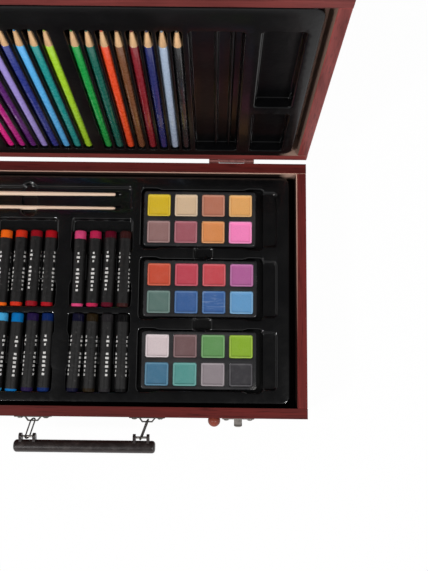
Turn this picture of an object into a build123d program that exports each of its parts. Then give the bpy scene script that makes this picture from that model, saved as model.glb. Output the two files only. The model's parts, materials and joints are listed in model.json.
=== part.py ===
"""Gouache paint set box: a stained wooden case with a stop-hinged lid and a drawer.

The base holds a vacuum-formed tray with three lift-out palettes of paint, oil pastels and two
brushes.  The lid holds a tray of colour pencils.  Under the base tray a drawer slides out to the
front.  A carrying handle hangs on two wire links, and two hasps close the lid over catches.

Frame: +X to the right, +Y to the back (hinge side), +Z up.  The origin is the centre of the base's
underside.  Everything in the lid is modelled with the lid closed and then turned about the hinge
axis to the open rest position.  All lengths are in millimetres and all angles in degrees.
"""

import os
from math import cos, radians, sin

from build123d import *

os.makedirs("parts", exist_ok=True)

# ---------------------------------------------------------------- driving dimensions: the case
base_height = 64.0
lid_height = 26.0
wall = 9.0  # thickness of the solid wood rails and sides
ply = 3.0  # thickness of the plywood panels
groove = 3.0  # how far a panel runs into its groove
rim_gap = 0.4  # between the two rims when the lid is shut
lid_open_angle = 95.5
panel_inset = 2.0  # the lid panel lies this far inside the lid's outer face

# drawer
drawer_opening = 31.0  # height of the opening between the bottom and the shelf
drawer_side = 6.0  # thickness of the drawer's sides and back
drawer_gap = 0.5  # running clearance at the drawer's sides and top
drawer_lift = 0.3  # running clearance under the drawer
drawer_side_height = 22.0
drawer_back_gap = 4.0
drawer_bottom_rise = 2.0  # of the drawer's bottom above its side's lower edge
drawer_groove = 2.0
knob_radius = 5.8
knob_sink = 1.8  # how much of the ball is cut away where it seats
knob_inset = 81.5  # from the case's end to a knob's middle

# ---------------------------------------------------------------- driving dimensions: base tray
sheet = 1.0  # thickness of the vacuum-formed plastic
tray_drop = 7.5  # flange of the base tray below the rim
tray_corner = 9.0
pocket_corner = 3.0  # corner radius of the bays and pockets
slot_flat = 1.2  # flat left at the end of a slot between its two round corners
tray_gap_side = 5.7
tray_gap_front = 1.9
tray_gap_back = 0.4

palette_rim_x = 4.2  # palette outside its wells, left and right
palette_rim_y = 3.85  # and front and back
palette_height = 9.0
palette_corner = 2.5
palette_floor = 2.0
palette_land = 7.3  # flange between two recesses, front to back
palette_slack_x = 8.6  # finger room left in the recess
palette_slack_y = 3.4
palette_recess = 9.5  # depth of the recess
recess_corner = 4.0
palette_seat = 0.1  # air under a palette in its recess
palette_margin = 24.0  # flange to the right of the recesses, its shallow steps included
palette_margin_y = 10.7  # least flange in front of and behind the recesses
palette_shift_y = -0.75  # of the middle recess from the middle of the tray
palette_shifts = (-1.3, 0.1, -0.1)  # how far each palette has slid in its recess
step_width = 11.4  # shallow step on the right of each recess
step_depth = 3.0
step_inset = 1.9  # the shallow step is this much narrower at each end
finger_notch = 18.0  # width of the notch between two recesses
finger_notch_depth = 6.0
finger_notch_shift = 1.4

cake_columns = 4
cake_rows = 2
cake_rib_x = 3.2  # ribs between two wells
cake_rib_y = 3.7
cake_width = 21.8
cake_depth = 21.3
cake_height = 6.2
cake_corner = 1.2
cake_gap = 0.15  # between a cake of paint and its well

pastel_radius = 5.25
pastel_length = 70.0
pastels_in_bay = 4
pastel_gap = 3.4  # between two bare sticks
pastel_bevel = 0.6
wrapper_play = 0.02
wrapper_wall = 0.3
wrapper_from = 8.5  # bare stick at the head
wrapper_to = 3.0  # bare stick at the foot
bay_count = 3
bay_land_x = 10.4  # flange between two bays, left and right
bay_land_y = 3.55  # and front and back
bay_wall_room = 5.7  # bay width beyond the pastels
bay_slack = 2.6  # bay length beyond a pastel
bay_depth = 9.0
bay_front_margin = 9.0
bay_right_gap = 4.5  # flange between the pastel bays and the palettes
bay_left_margin = 14.4  # flange to the left of the bays and of the brushes
head_room = 11.3  # shallow thumb room behind the back row of pastels
head_room_depth = 4.6
rib_width = 1.6
rib_length = 22.0
rib_height = 3.5
seat_gap = 0.25  # air between a round stick and the floor it lies on

brush_count = 2
brush_gap = 8.4  # between the two ferrules
brush_handle_radius = 2.1
brush_handle_length = 128.0
brush_tail_radius = 1.5
brush_point_radius = 0.5
ferrule_length = 24.0
ferrule_radius = 2.5
ferrule_wall = 0.6
brush_tip_length = 14.0
brush_recess_slack = 8.6  # recess length beyond a brush
brush_recess_height = 24.2
brush_recess_depth = 6.5
brush_step = 9.7  # width of the shallow step at each end of the recess
brush_back_margin = 10.6
brush_land = 5.85  # flange between the thumb rooms and the brushes
brush_right_inset = 1.9  # recess end inside the line of the pastel bays
brush_shift = 2.0  # the pair lies towards the front of the recess
brush_end_gap = 6.6
brush_fit = 8.0  # how far handle and bristles run into the ferrule
brush_finger_radius = 9.0

# ---------------------------------------------------------------- driving dimensions: lid tray
lid_tray_drop = 1.0  # flange of the lid tray inside the rim
lid_tray_gap_side = 5.5
pencil_radius = 3.7
pencil_barrel = 156.0
pencil_cone = 14.0
pencil_lead = 5.0
pencil_lead_radius = 1.2
pencil_point_radius = 0.3
pencil_end_round = 2.96
pencil_groups = 3
pencils_in_group = 8
pencil_gap = 2.45
pencil_group_gap = 10.25  # more than that between two groups
pencil_start = 8.0  # rounded end of a pencil from the tray's hinge-side edge
trough_slack = 1.2
trough_depth = 8.6
trough_end_gap = 2.5
trough_end_margin = 10.0  # least flange beyond the troughs
group_left_margin = 12.2
pocket_width_inner = 39.0
pocket_margin = 8.6  # flange to the right of the outer pockets
pocket_first_gap = 2.4  # flange between the last pencil and the inner pocket
pocket_gap = 9.0  # flange between the two columns of pockets
pocket_split = 70.0  # length of the lower outer pocket
pocket_ridges = (19.5, 30.5)  # low ridges in the inner pocket, from its left wall
ridge_width = 1.6
ridge_height = 4.0

# ---------------------------------------------------------------- driving dimensions: fittings
metal = 1.0  # thickness of the stamped plates
screw_head_radius = 2.5
screw_crown_radius = 1.5
screw_head_height = 1.3
screw_radius = 1.2
screw_length = 7.0
screw_play = 0.05

hinge_inset = 68.3  # from the case's end to a hinge's middle
hinge_length = 41.0
hinge_end_knuckle = 9.0
hinge_offset = 2.5  # hinge axis behind the back faces
hinge_knuckle_radius = 2.1
hinge_pin_radius = 1.0
hinge_pin_play = 0.05
hinge_leaf_height = 15.0
hinge_knuckle_play = 0.25
hinge_leaf_gap = 0.6  # between the leaf's body and the other leaf's knuckle
hinge_screw_pitch = 24.0
hinge_screw_drop = 9.0  # from the hinge axis
stop_inner = 3.4  # stop ear: nearest and farthest distance of its face from the hinge axis
stop_outer = 8.0
stop_width = 2.4
stop_play = 0.3  # degrees between the two stop faces

bracket_x = 50.5
bracket_drop = 10.0  # bracket centre below the rim
bracket_width = 31.0
bracket_height = 10.0
bracket_screw_pitch = 22.8
bridge_reach = 4.7  # how far the bridge stands out of the front
bridge_foot = 15.0
bridge_top = 9.0
bridge_height = 1.6
bridge_metal = 1.2
link_wire = 0.65  # wire radius
link_width = 5.2  # between the two legs' centre lines
link_length = 20.0  # between the two ends' centre lines
link_hold = 2.0  # from a link's end to the bar or pin that it hangs on
link_lean = 20.0  # the links lie askew towards the left
link_twists = (35.0, 15.0)
handle_tilt = 20.0  # the handle lies this far below level
grip_radius = 5.5
grip_offset = 9.0  # grip centre beyond the pins
grip_overhang = 5.0
grip_round = 2.75
fork_gap = 9.8
fork_cheek = 2.4
fork_radius = 3.0
fork_pin_radius = 1.0

latch_inset = 60.4  # from the case's end to a latch's middle
catch_drop = 9.0
catch_width = 28.0
catch_height = 10.0
latch_screw_pitch = 20.7
lug_width = 7.0
lug_reach = 7.6
lug_metal = 1.2
lug_hook = 1.4
hasp_rise = 6.0  # hasp pin above the lid's rim
hasp_offset = 2.7  # hasp pin in front of the lid's face
hasp_knuckle_radius = 1.7
hasp_pin_radius = 0.8
hasp_pin_play = 0.05
hasp_knuckle = 6.0
hasp_ear = 3.0
hasp_ear_play = 0.2
hasp_width = 13.0
hasp_length = 24.0
hasp_window_width = 8.4
hasp_window_height = 6.0
hasp_lip = 2.5
hasp_flip_angle = 165.0
hasp_plate_height = 12.0

# ---------------------------------------------------------------- places worked out from them
cake_pitch_x = cake_width + cake_rib_x
cake_pitch_y = cake_depth + cake_rib_y
palette_width = cake_columns * cake_pitch_x - cake_rib_x + 2 * palette_rim_x
palette_depth = cake_rows * cake_pitch_y - cake_rib_y + 2 * palette_rim_y
palette_recess_width = palette_width + palette_slack_x
palette_recess_depth_y = palette_depth + palette_slack_y
palette_pitch = palette_recess_depth_y + palette_land

pastel_pitch = 2 * pastel_radius + pastel_gap
bay_width = pastels_in_bay * pastel_pitch - pastel_gap + bay_wall_room
bay_pitch = bay_width + bay_land_x
bay_length = pastel_length + bay_slack
brush_length = brush_handle_length + ferrule_length + brush_tip_length
brush_recess_length = brush_length + brush_recess_slack
pencil_length = pencil_barrel + pencil_cone + pencil_lead

# the tray is as large as the fullest column and row of what it holds, and the case fits the tray
bay_run = bay_count * bay_pitch - bay_land_x
brush_run = brush_recess_length + 2 * brush_step + brush_right_inset
left_run = bay_left_margin + max(bay_run, brush_run)
tray_width = left_run + bay_right_gap + palette_recess_width + palette_margin
pastel_rows = bay_front_margin + 2 * bay_length + bay_land_y + head_room
brush_row = brush_land + brush_recess_height + brush_back_margin
palette_rows = 3 * palette_pitch - palette_land + 2 * palette_margin_y
pencil_row = pencil_start + pencil_length + trough_end_gap + trough_end_margin
tray_depth = max(pastel_rows + brush_row, palette_rows, pencil_row)
case_width = tray_width + 2 * (tray_gap_side + wall)
case_depth = tray_depth + tray_gap_front + tray_gap_back + 2 * wall

half_width = case_width / 2
half_depth = case_depth / 2
inner_half_width = half_width - wall
inner_back = half_depth - wall
inner_front = -half_depth + wall
rim = base_height
shelf_bottom = ply + drawer_opening
shelf_top = shelf_bottom + ply
lid_rim = rim + rim_gap
lid_top = lid_rim + lid_height
knob_x = half_width - knob_inset
hinge_x = half_width - hinge_inset
latch_x = half_width - latch_inset

tray_top = rim - tray_drop
tray_right = inner_half_width - tray_gap_side
tray_front = inner_front + tray_gap_front
tray_back = inner_back - tray_gap_back

palette_x = tray_right - palette_margin - palette_recess_width / 2
palette_y = (tray_front + tray_back) / 2 + palette_shift_y
palette_ys = [palette_y + row * palette_pitch for row in (1, 0, -1)]
palette_base = tray_top - palette_recess + palette_seat
palette_xs = [palette_x + shift for shift in palette_shifts]

bay_right_x = palette_x - palette_recess_width / 2 - bay_right_gap - bay_width / 2
bay_xs = [bay_right_x - (bay_count - 1 - bay) * bay_pitch for bay in range(bay_count)]
bay_front_y = tray_front + bay_front_margin + bay_length / 2
bay_back_y = bay_front_y + bay_length + bay_land_y
wrapper_radius = pastel_radius + wrapper_play + wrapper_wall
pastel_axis = tray_top - bay_depth + seat_gap + wrapper_radius

brush_recess_y = tray_back - brush_back_margin - brush_recess_height / 2
brush_recess_right = bay_right_x + bay_width / 2 - brush_step - brush_right_inset
brush_recess_x = brush_recess_right - brush_recess_length / 2
brush_pitch = 2 * ferrule_radius + brush_gap
brush_first_y = brush_recess_y - brush_shift + (brush_count - 1) * brush_pitch / 2
brush_ys = [brush_first_y - place * brush_pitch for place in range(brush_count)]
brush_axis = tray_top - brush_recess_depth + seat_gap + ferrule_radius
brush_tail_x = brush_recess_right - brush_end_gap

hinge_y = half_depth + hinge_offset
hinge_z = rim + rim_gap / 2
hinge_axis = Axis((0, hinge_y, hinge_z), (1, 0, 0))
hinge_plane = Plane(origin=(0, hinge_y, hinge_z), x_dir=(1, 0, 0), z_dir=(0, 0, 1))

front_face = Plane(origin=(0, -half_depth, 0), x_dir=(1, 0, 0), z_dir=(0, -1, 0))
back_face = Plane(origin=(0, half_depth, 0), x_dir=(-1, 0, 0), z_dir=(0, 1, 0))

bracket_z = rim - bracket_drop
bridge_bar = bridge_reach - bridge_metal / 2  # centre of the bridge in front of the face
catch_z = rim - catch_drop
hasp_z = lid_rim + hasp_rise
hasp_axis = Axis((0, -half_depth - hasp_offset, hasp_z), (1, 0, 0))

bracket_screws = [
    (side * bracket_x + end * bracket_screw_pitch / 2, bracket_z) for side in (-1, 1) for end in (-1, 1)
]
catch_screws = [
    (side * latch_x + end * latch_screw_pitch / 2, catch_z) for side in (-1, 1) for end in (-1, 1)
]
hasp_screw_z = lid_rim + hasp_rise + hasp_plate_height / 2
hasp_screws = [
    (side * latch_x + end * latch_screw_pitch / 2, hasp_screw_z) for side in (-1, 1) for end in (-1, 1)
]
hinge_screws_low = [
    (side * hinge_x + end * hinge_screw_pitch / 2, hinge_z - hinge_screw_drop)
    for side in (-1, 1)
    for end in (-1, 1)
]
hinge_screws_high = [(x, 2 * hinge_z - z) for x, z in hinge_screws_low]

trough_width = 2 * pencil_radius + trough_slack
lid_tray_z = lid_rim + lid_tray_drop
lid_panel_z = lid_top - panel_inset - ply
lid_tray_face = Plane(origin=(0, 0, lid_tray_z), x_dir=(1, 0, 0), z_dir=(0, 0, -1))
lid_tray_right = inner_half_width - lid_tray_gap_side
lid_tray_low = -tray_back  # hinge-side edge, in the plane of the lid tray
pencil_low = lid_tray_low + pencil_start
pencil_pitch = 2 * pencil_radius + pencil_gap
pencil_group_pitch = pencils_in_group * pencil_pitch + pencil_group_gap - pencil_gap
first_pencil_x = -lid_tray_right + group_left_margin + trough_width / 2
pencil_xs = [
    [first_pencil_x + group * pencil_group_pitch + place * pencil_pitch for place in range(pencils_in_group)]
    for group in range(pencil_groups)
]
pencil_axis = -trough_depth + seat_gap + pencil_radius  # in the plane of the lid tray

FLOOR = (Align.CENTER, Align.CENTER, Align.MIN)
CEILING = (Align.CENTER, Align.CENTER, Align.MAX)
ALONG_X = (0, 90, 0)
ALONG_Y = (90, 0, 0)


# ---------------------------------------------------------------- helpers
def save(part, name):
    """Label a finished piece and write it as its own STEP file."""
    part.label = name
    export_step(part, f"parts/{name}.step")


def opened(part):
    """Turn a piece modelled on the closed lid to the open rest position."""
    return part.rotate(hinge_axis, -lid_open_angle)


def block(x_span, y_span, z_span, mode=Mode.ADD):
    """A box given by its lowest and highest place along each axis."""
    sizes = [high - low for low, high in (x_span, y_span, z_span)]
    middle = [(low + high) / 2 for low, high in (x_span, y_span, z_span)]
    with Locations(tuple(middle)):
        Box(*sizes, mode=mode)


def drill(face, spots, radius, depth):
    """Blind holes into the part that is being built, at spots on one of its faces."""
    with Locations(face):
        with Locations(*[(x, z, 0) for x, z in spots]):
            Cylinder(radius, depth, align=CEILING, mode=Mode.SUBTRACT)


def screws(face, spots):
    """Domed screws that clamp a stamped plate to a face."""
    with BuildPart(face) as piece:
        with Locations(*[(x, z, metal) for x, z in spots]):
            Cone(screw_head_radius, screw_crown_radius, screw_head_height, align=FLOOR)
            Cylinder(screw_radius, screw_length, align=CEILING)
    return piece


def pilot_holes(face, spots):
    """The holes that take those screws."""
    drill(face, spots, screw_radius + screw_play, screw_length)


def plates(face, middles, width, height, spots):
    """Flat stamped plates with a hole for each screw."""
    with BuildPart(face) as piece:
        with Locations(*[(x, z, 0) for x, z in middles]):
            Box(width, height, metal, align=FLOOR)
        with Locations(*[(x, z, metal) for x, z in spots]):
            Cylinder(screw_radius + screw_play, metal, align=CEILING, mode=Mode.SUBTRACT)
    return piece


def rounded_pocket(face, pocket, grow, depth, mode):
    """One rounded recess or its outer form, from (x, y, width, length, depth, corner)."""
    x, y, width, length, _, corner = pocket
    with BuildSketch(face) as outline:
        with Locations((x, y)):
            RectangleRounded(width + 2 * grow, length + 2 * grow, corner + grow)
    extrude(outline.sketch, amount=-depth, mode=mode)


def formed_tray(face, half_span, low, high, skirt, pockets):
    """A vacuum-formed tray: a flange on a skirt, with pockets sunk into the flange."""
    outline = (0, (low + high) / 2, 2 * half_span, high - low, skirt, tray_corner)
    with BuildPart() as piece:
        rounded_pocket(face, outline, 0, skirt, Mode.ADD)
        rounded_pocket(face.offset(-sheet), outline, -sheet, skirt, Mode.SUBTRACT)
        for pocket in pockets:
            rounded_pocket(face, pocket, sheet, pocket[4] + sheet, Mode.ADD)
        for pocket in pockets:
            rounded_pocket(face, pocket, 0, pocket[4], Mode.SUBTRACT)
    return piece


# ---------------------------------------------------------------- base: wood
def base_side(side):
    """A side of the base: notched for the front rail, rebated for the bottom, grooved for the shelf."""
    inner, outer = side * inner_half_width, side * half_width
    span = (min(inner, outer), max(inner, outer))
    deep = sorted((inner, inner + side * groove))
    with BuildPart() as piece:
        block(span, (-half_depth, inner_back), (0, base_height))
        block(span, (-half_depth, inner_front), (shelf_bottom, base_height), Mode.SUBTRACT)
        block(deep, (-half_depth, inner_back), (0, ply), Mode.SUBTRACT)
        block(deep, (inner_front, inner_back), (shelf_bottom, shelf_top), Mode.SUBTRACT)
    return piece


panel_half_width = inner_half_width + groove
panel_span = (-panel_half_width, panel_half_width)
panel_back = inner_back + groove

save(base_side(-1).part, "base_side_left")
save(base_side(1).part, "base_side_right")

with BuildPart() as base_back:
    block((-half_width, half_width), (inner_back, half_depth), (0, base_height))
    block(panel_span, (inner_back, panel_back), (0, ply), Mode.SUBTRACT)
    block(panel_span, (inner_back, panel_back), (shelf_bottom, shelf_top), Mode.SUBTRACT)
    pilot_holes(back_face, hinge_screws_low)
save(base_back.part, "base_back")

with BuildPart() as base_front_rail:
    block((-half_width, half_width), (-half_depth, inner_front), (shelf_bottom, base_height))
    pilot_holes(front_face, bracket_screws + catch_screws)
save(base_front_rail.part, "base_front_rail")

with BuildPart() as base_bottom:
    block(panel_span, (-half_depth, panel_back), (0, ply))
save(base_bottom.part, "base_bottom")

with BuildPart() as base_shelf:
    block(panel_span, (inner_front, panel_back), (shelf_bottom, shelf_top))
save(base_shelf.part, "base_shelf")

# ---------------------------------------------------------------- base: tray
tray_face = Plane.XY.offset(tray_top)
palette_recesses = [
    (palette_x, y, palette_recess_width, palette_recess_depth_y, palette_recess, recess_corner)
    for y in palette_ys
]
palette_steps = [
    (
        palette_x + palette_recess_width / 2 + (step_width - recess_corner) / 2,
        y,
        step_width + recess_corner,
        palette_recess_depth_y - 2 * step_inset,
        step_depth,
        recess_corner,
    )
    for y in palette_ys
]
notch_length = palette_pitch - palette_recess_depth_y + 2 * recess_corner
finger_notches = [
    (palette_x + finger_notch_shift, y, finger_notch, notch_length, finger_notch_depth, recess_corner / 2)
    for y in (palette_y + palette_pitch / 2, palette_y - palette_pitch / 2)
]
pastel_bays = [
    (x, y, bay_width, bay_length, bay_depth, pocket_corner) for x in bay_xs for y in (bay_front_y, bay_back_y)
]
head_room_length = head_room + 2 * pocket_corner
head_rooms = [
    (
        x,
        bay_back_y + bay_length / 2 + head_room - head_room_length / 2,
        bay_width,
        head_room_length,
        head_room_depth,
        pocket_corner,
    )
    for x in bay_xs
]
brush_recess = (
    brush_recess_x,
    brush_recess_y,
    brush_recess_length,
    brush_recess_height,
    brush_recess_depth,
    pocket_corner,
)
brush_steps = (
    brush_recess_x,
    brush_recess_y,
    brush_recess_length + 2 * brush_step,
    brush_recess_height,
    step_depth,
    pocket_corner,
)
finger_arc = (
    brush_recess_x,
    brush_recess_y + brush_recess_height / 2 - brush_finger_radius / 2,
    2 * brush_finger_radius,
    2 * brush_finger_radius,
    brush_recess_depth,
    brush_finger_radius - slot_flat / 2,
)

base_tray = formed_tray(
    tray_face,
    tray_right,
    tray_front,
    tray_back,
    tray_top - shelf_top,
    palette_recesses
    + palette_steps
    + finger_notches
    + pastel_bays
    + head_rooms
    + [brush_recess, brush_steps, finger_arc],
)
with base_tray:
    rib_count = pastels_in_bay - 1
    rib_xs = [x + (rib - (rib_count - 1) / 2) * pastel_pitch for x in bay_xs for rib in range(rib_count)]
    with Locations(*[(x, y, tray_top - bay_depth) for x in rib_xs for y in (bay_front_y, bay_back_y)]):
        Box(rib_width, rib_length, rib_height, align=FLOOR)
save(base_tray.part, "base_tray")


# ---------------------------------------------------------------- palettes and cakes of paint
def palette(x, y):
    """A moulded palette with a grid of square wells."""
    with BuildPart() as piece:
        with BuildSketch(Plane.XY.offset(palette_base)):
            with Locations((x, y)):
                RectangleRounded(palette_width, palette_depth, palette_corner)
        extrude(amount=palette_height)
        with BuildSketch(Plane.XY.offset(palette_base + palette_floor)):
            with Locations((x, y)), GridLocations(cake_pitch_x, cake_pitch_y, cake_columns, cake_rows):
                RectangleRounded(cake_width + 2 * cake_gap, cake_depth + 2 * cake_gap, cake_corner)
        extrude(amount=palette_height, mode=Mode.SUBTRACT)
    return piece


def cakes(x, y):
    """The cakes of paint that sit in one palette's wells."""
    with BuildPart() as piece:
        with BuildSketch(Plane.XY.offset(palette_base + palette_floor)):
            with Locations((x, y)), GridLocations(cake_pitch_x, cake_pitch_y, cake_columns, cake_rows):
                RectangleRounded(cake_width, cake_depth, cake_corner)
        extrude(amount=cake_height)
    return piece


row_names = ("back", "middle", "front")
for place, x, y in zip(row_names, palette_xs, palette_ys):
    save(palette(x, y).part, f"palette_{place}")
    save(cakes(x, y).part, f"paint_cakes_{place}")


# ---------------------------------------------------------------- oil pastels
def pastel_places(bay_x, row_y):
    """Centres of the pastels that lie in one bay."""
    first = -(pastels_in_bay - 1) / 2
    return [(bay_x + (first + place) * pastel_pitch, row_y, pastel_axis) for place in range(pastels_in_bay)]


wrapper_length = pastel_length - wrapper_from - wrapper_to
wrapper_shift = (wrapper_to - wrapper_from) / 2
bay_names = ("left", "middle", "right")
bay_rows = (("back", bay_back_y), ("front", bay_front_y))

for row, row_y in bay_rows:
    for bay, bay_x in zip(bay_names, bay_xs):
        with BuildPart() as pastel_sticks:
            with Locations(*pastel_places(bay_x, row_y)):
                Cylinder(pastel_radius, pastel_length, rotation=ALONG_Y)
            chamfer(pastel_sticks.edges().filter_by(GeomType.CIRCLE), pastel_bevel)
        save(pastel_sticks.part, f"pastel_sticks_{row}_{bay}")
    wrapper_spots = [
        (x, y + wrapper_shift, z) for bay_x in bay_xs for x, y, z in pastel_places(bay_x, row_y)
    ]
    with BuildPart() as pastel_wrappers:
        with Locations(*wrapper_spots):
            Cylinder(wrapper_radius, wrapper_length, rotation=ALONG_Y)
            Cylinder(pastel_radius + wrapper_play, wrapper_length, rotation=ALONG_Y, mode=Mode.SUBTRACT)
    save(pastel_wrappers.part, f"pastel_wrappers_{row}")

# ---------------------------------------------------------------- brushes
ferrule_right = brush_tail_x - brush_handle_length
ferrule_left = ferrule_right - ferrule_length
ferrule_bore = ferrule_radius - ferrule_wall
brush_neck = ferrule_bore - screw_play

with BuildPart() as brush_handles:
    with Locations(*[(ferrule_right + brush_handle_length / 2, y, brush_axis) for y in brush_ys]):
        Cone(brush_handle_radius, brush_tail_radius, brush_handle_length, rotation=ALONG_X)
    with Locations(*[(ferrule_right - brush_fit / 2, y, brush_axis) for y in brush_ys]):
        Cylinder(brush_neck, brush_fit, rotation=ALONG_X)
save(brush_handles.part, "brush_handles")

with BuildPart() as brush_ferrules:
    with Locations(*[((ferrule_left + ferrule_right) / 2, y, brush_axis) for y in brush_ys]):
        Cylinder(ferrule_radius, ferrule_length, rotation=ALONG_X)
        Cylinder(ferrule_bore, ferrule_length, rotation=ALONG_X, mode=Mode.SUBTRACT)
save(brush_ferrules.part, "brush_ferrules")

with BuildPart() as brush_bristles:
    with Locations(*[(ferrule_left + brush_fit / 2, y, brush_axis) for y in brush_ys]):
        Cylinder(brush_neck, brush_fit, rotation=ALONG_X)
    with Locations(*[(ferrule_left - brush_tip_length / 2, y, brush_axis) for y in brush_ys]):
        Cone(brush_point_radius, brush_neck, brush_tip_length, rotation=ALONG_X)
save(brush_bristles.part, "brush_bristles")

# ---------------------------------------------------------------- drawer
drawer_low = ply + drawer_lift
drawer_front_half = inner_half_width - drawer_gap
drawer_side_top = drawer_low + drawer_side_height
drawer_end = inner_back - drawer_back_gap
drawer_inner = drawer_front_half - drawer_side
drawer_bottom_low = drawer_low + drawer_bottom_rise
drawer_groove_span = (-drawer_inner - drawer_groove, drawer_inner + drawer_groove)
drawer_panel_z = (drawer_bottom_low, drawer_bottom_low + ply)
knob_z = ply + drawer_opening / 2
knob_spots = [(-knob_x, knob_z), (knob_x, knob_z)]

with BuildPart() as drawer_front:
    drawer_face_top = shelf_bottom - drawer_gap
    block((-drawer_front_half, drawer_front_half), (-half_depth, inner_front), (drawer_low, drawer_face_top))
    block(
        drawer_groove_span, (inner_front - drawer_groove, inner_front), drawer_panel_z, Mode.SUBTRACT
    )
    drill(front_face, knob_spots, screw_radius + screw_play, wall)
save(drawer_front.part, "drawer_front")


def drawer_side_piece(side):
    """A side of the drawer, with a groove along it for the bottom."""
    inner, outer = side * drawer_inner, side * drawer_front_half
    with BuildPart() as piece:
        block(sorted((inner, outer)), (inner_front, drawer_end), (drawer_low, drawer_side_top))
        grooved = sorted((inner, inner + side * drawer_groove))
        block(grooved, (inner_front, drawer_end), drawer_panel_z, Mode.SUBTRACT)
    return piece


save(drawer_side_piece(-1).part, "drawer_side_left")
save(drawer_side_piece(1).part, "drawer_side_right")

with BuildPart() as drawer_back:
    block(
        (-drawer_inner, drawer_inner),
        (drawer_end - drawer_side, drawer_end),
        (drawer_panel_z[1], drawer_side_top),
    )
save(drawer_back.part, "drawer_back")

with BuildPart() as drawer_bottom:
    block(drawer_groove_span, (inner_front - drawer_groove, drawer_end), drawer_panel_z)
save(drawer_bottom.part, "drawer_bottom")

knob_centre = knob_radius - knob_sink
with BuildPart(front_face) as drawer_knobs:
    with Locations(*[(x, z, knob_centre) for x, z in knob_spots]):
        Sphere(knob_radius)
    with Locations(*[(x, z, 0) for x, z in knob_spots]):
        Box(2 * knob_radius, 2 * knob_radius, 2 * knob_radius, align=CEILING, mode=Mode.SUBTRACT)
        Cylinder(screw_radius + screw_play, knob_radius, align=FLOOR, mode=Mode.SUBTRACT)
save(drawer_knobs.part, "drawer_knobs")

knob_face = Plane(origin=(0, inner_front, 0), x_dir=(1, 0, 0), z_dir=(0, -1, 0))
with BuildPart(knob_face) as knob_screws:
    with Locations(*[(x, z, 0) for x, z in knob_spots]):
        Cylinder(screw_radius, wall + knob_radius - metal, align=FLOOR)
        Cylinder(screw_head_radius, screw_head_height, align=CEILING)
save(knob_screws.part, "knob_screws")

# ---------------------------------------------------------------- lid: wood (closed position)
lid_z = (lid_rim, lid_top)
lid_panel_span = (lid_panel_z, lid_panel_z + ply)


def lid_side(side):
    """A side of the lid between its two rails, grooved for the panel."""
    inner, outer = side * inner_half_width, side * half_width
    with BuildPart() as piece:
        block(sorted((inner, outer)), (inner_front, inner_back), lid_z)
        grooved = sorted((inner, inner + side * groove))
        block(grooved, (inner_front, inner_back), lid_panel_span, Mode.SUBTRACT)
    return piece


save(opened(lid_side(-1).part), "lid_side_left")
save(opened(lid_side(1).part), "lid_side_right")

with BuildPart() as lid_hinge_rail:
    block((-half_width, half_width), (inner_back, half_depth), lid_z)
    block(panel_span, (inner_back, panel_back), lid_panel_span, Mode.SUBTRACT)
    pilot_holes(back_face, hinge_screws_high)
save(opened(lid_hinge_rail.part), "lid_hinge_rail")

panel_front = inner_front - groove
with BuildPart() as lid_front_rail:
    block((-half_width, half_width), (-half_depth, inner_front), lid_z)
    block(panel_span, (panel_front, inner_front), lid_panel_span, Mode.SUBTRACT)
    pilot_holes(front_face, hasp_screws)
save(opened(lid_front_rail.part), "lid_front_rail")

with BuildPart() as lid_panel:
    block(panel_span, (panel_front, panel_back), lid_panel_span)
save(opened(lid_panel.part), "lid_panel")

# ---------------------------------------------------------------- lid: tray and pencils
trough_length = pencil_length + 2 * trough_end_gap
trough_mid = pencil_low + pencil_length / 2
trough_corner = (trough_width - slot_flat) / 2
troughs = [
    (x, trough_mid, trough_width, trough_length, trough_depth, trough_corner)
    for group in pencil_xs
    for x in group
]
pocket_inner_left = pencil_xs[-1][-1] + trough_width / 2 + pocket_first_gap
pocket_outer_left = pocket_inner_left + pocket_width_inner + pocket_gap
pocket_width_outer = lid_tray_right - pocket_margin - pocket_outer_left
pocket_low = trough_mid - trough_length / 2
pocket_upper_length = trough_length - pocket_split - pocket_gap
lid_pockets = [
    (
        pocket_inner_left + pocket_width_inner / 2,
        trough_mid,
        pocket_width_inner,
        trough_length,
        trough_depth,
        pocket_corner,
    ),
    (
        pocket_outer_left + pocket_width_outer / 2,
        pocket_low + pocket_split / 2,
        pocket_width_outer,
        pocket_split,
        trough_depth,
        pocket_corner,
    ),
    (
        pocket_outer_left + pocket_width_outer / 2,
        pocket_low + trough_length - pocket_upper_length / 2,
        pocket_width_outer,
        pocket_upper_length,
        trough_depth,
        pocket_corner,
    ),
]
lid_tray = formed_tray(
    lid_tray_face,
    lid_tray_right,
    lid_tray_low,
    -tray_front,
    lid_panel_z - lid_tray_z,
    troughs + lid_pockets,
)
with lid_tray:
    ridge_spots = [(pocket_inner_left + across, trough_mid, -trough_depth) for across in pocket_ridges]
    with Locations(lid_tray_face):
        with Locations(*ridge_spots):
            Box(ridge_width, trough_length, ridge_height, align=FLOOR)
save(opened(lid_tray.part), "lid_tray")

group_names = ("left", "middle", "right")
barrel_mid = pencil_low + pencil_barrel / 2
cone_mid = pencil_low + pencil_barrel + pencil_cone / 2
lead_mid = pencil_low + pencil_barrel + pencil_cone + pencil_lead / 2

for group, xs in zip(group_names, pencil_xs):
    with BuildPart(lid_tray_face) as pencil_barrels:
        with Locations(*[(x, barrel_mid, pencil_axis) for x in xs]):
            Cylinder(pencil_radius, pencil_barrel, rotation=ALONG_Y)
        rounded_ends = pencil_barrels.edges().filter_by(GeomType.CIRCLE).group_by(Axis.Y)[-1]
        fillet(rounded_ends, pencil_end_round)
    save(opened(pencil_barrels.part), f"pencil_barrels_{group}")

all_pencil_xs = [x for group in pencil_xs for x in group]
with BuildPart(lid_tray_face) as pencil_cones:
    with Locations(*[(x, cone_mid, pencil_axis) for x in all_pencil_xs]):
        Cone(pencil_lead_radius, pencil_radius, pencil_cone, rotation=ALONG_Y)
save(opened(pencil_cones.part), "pencil_cones")

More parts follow.
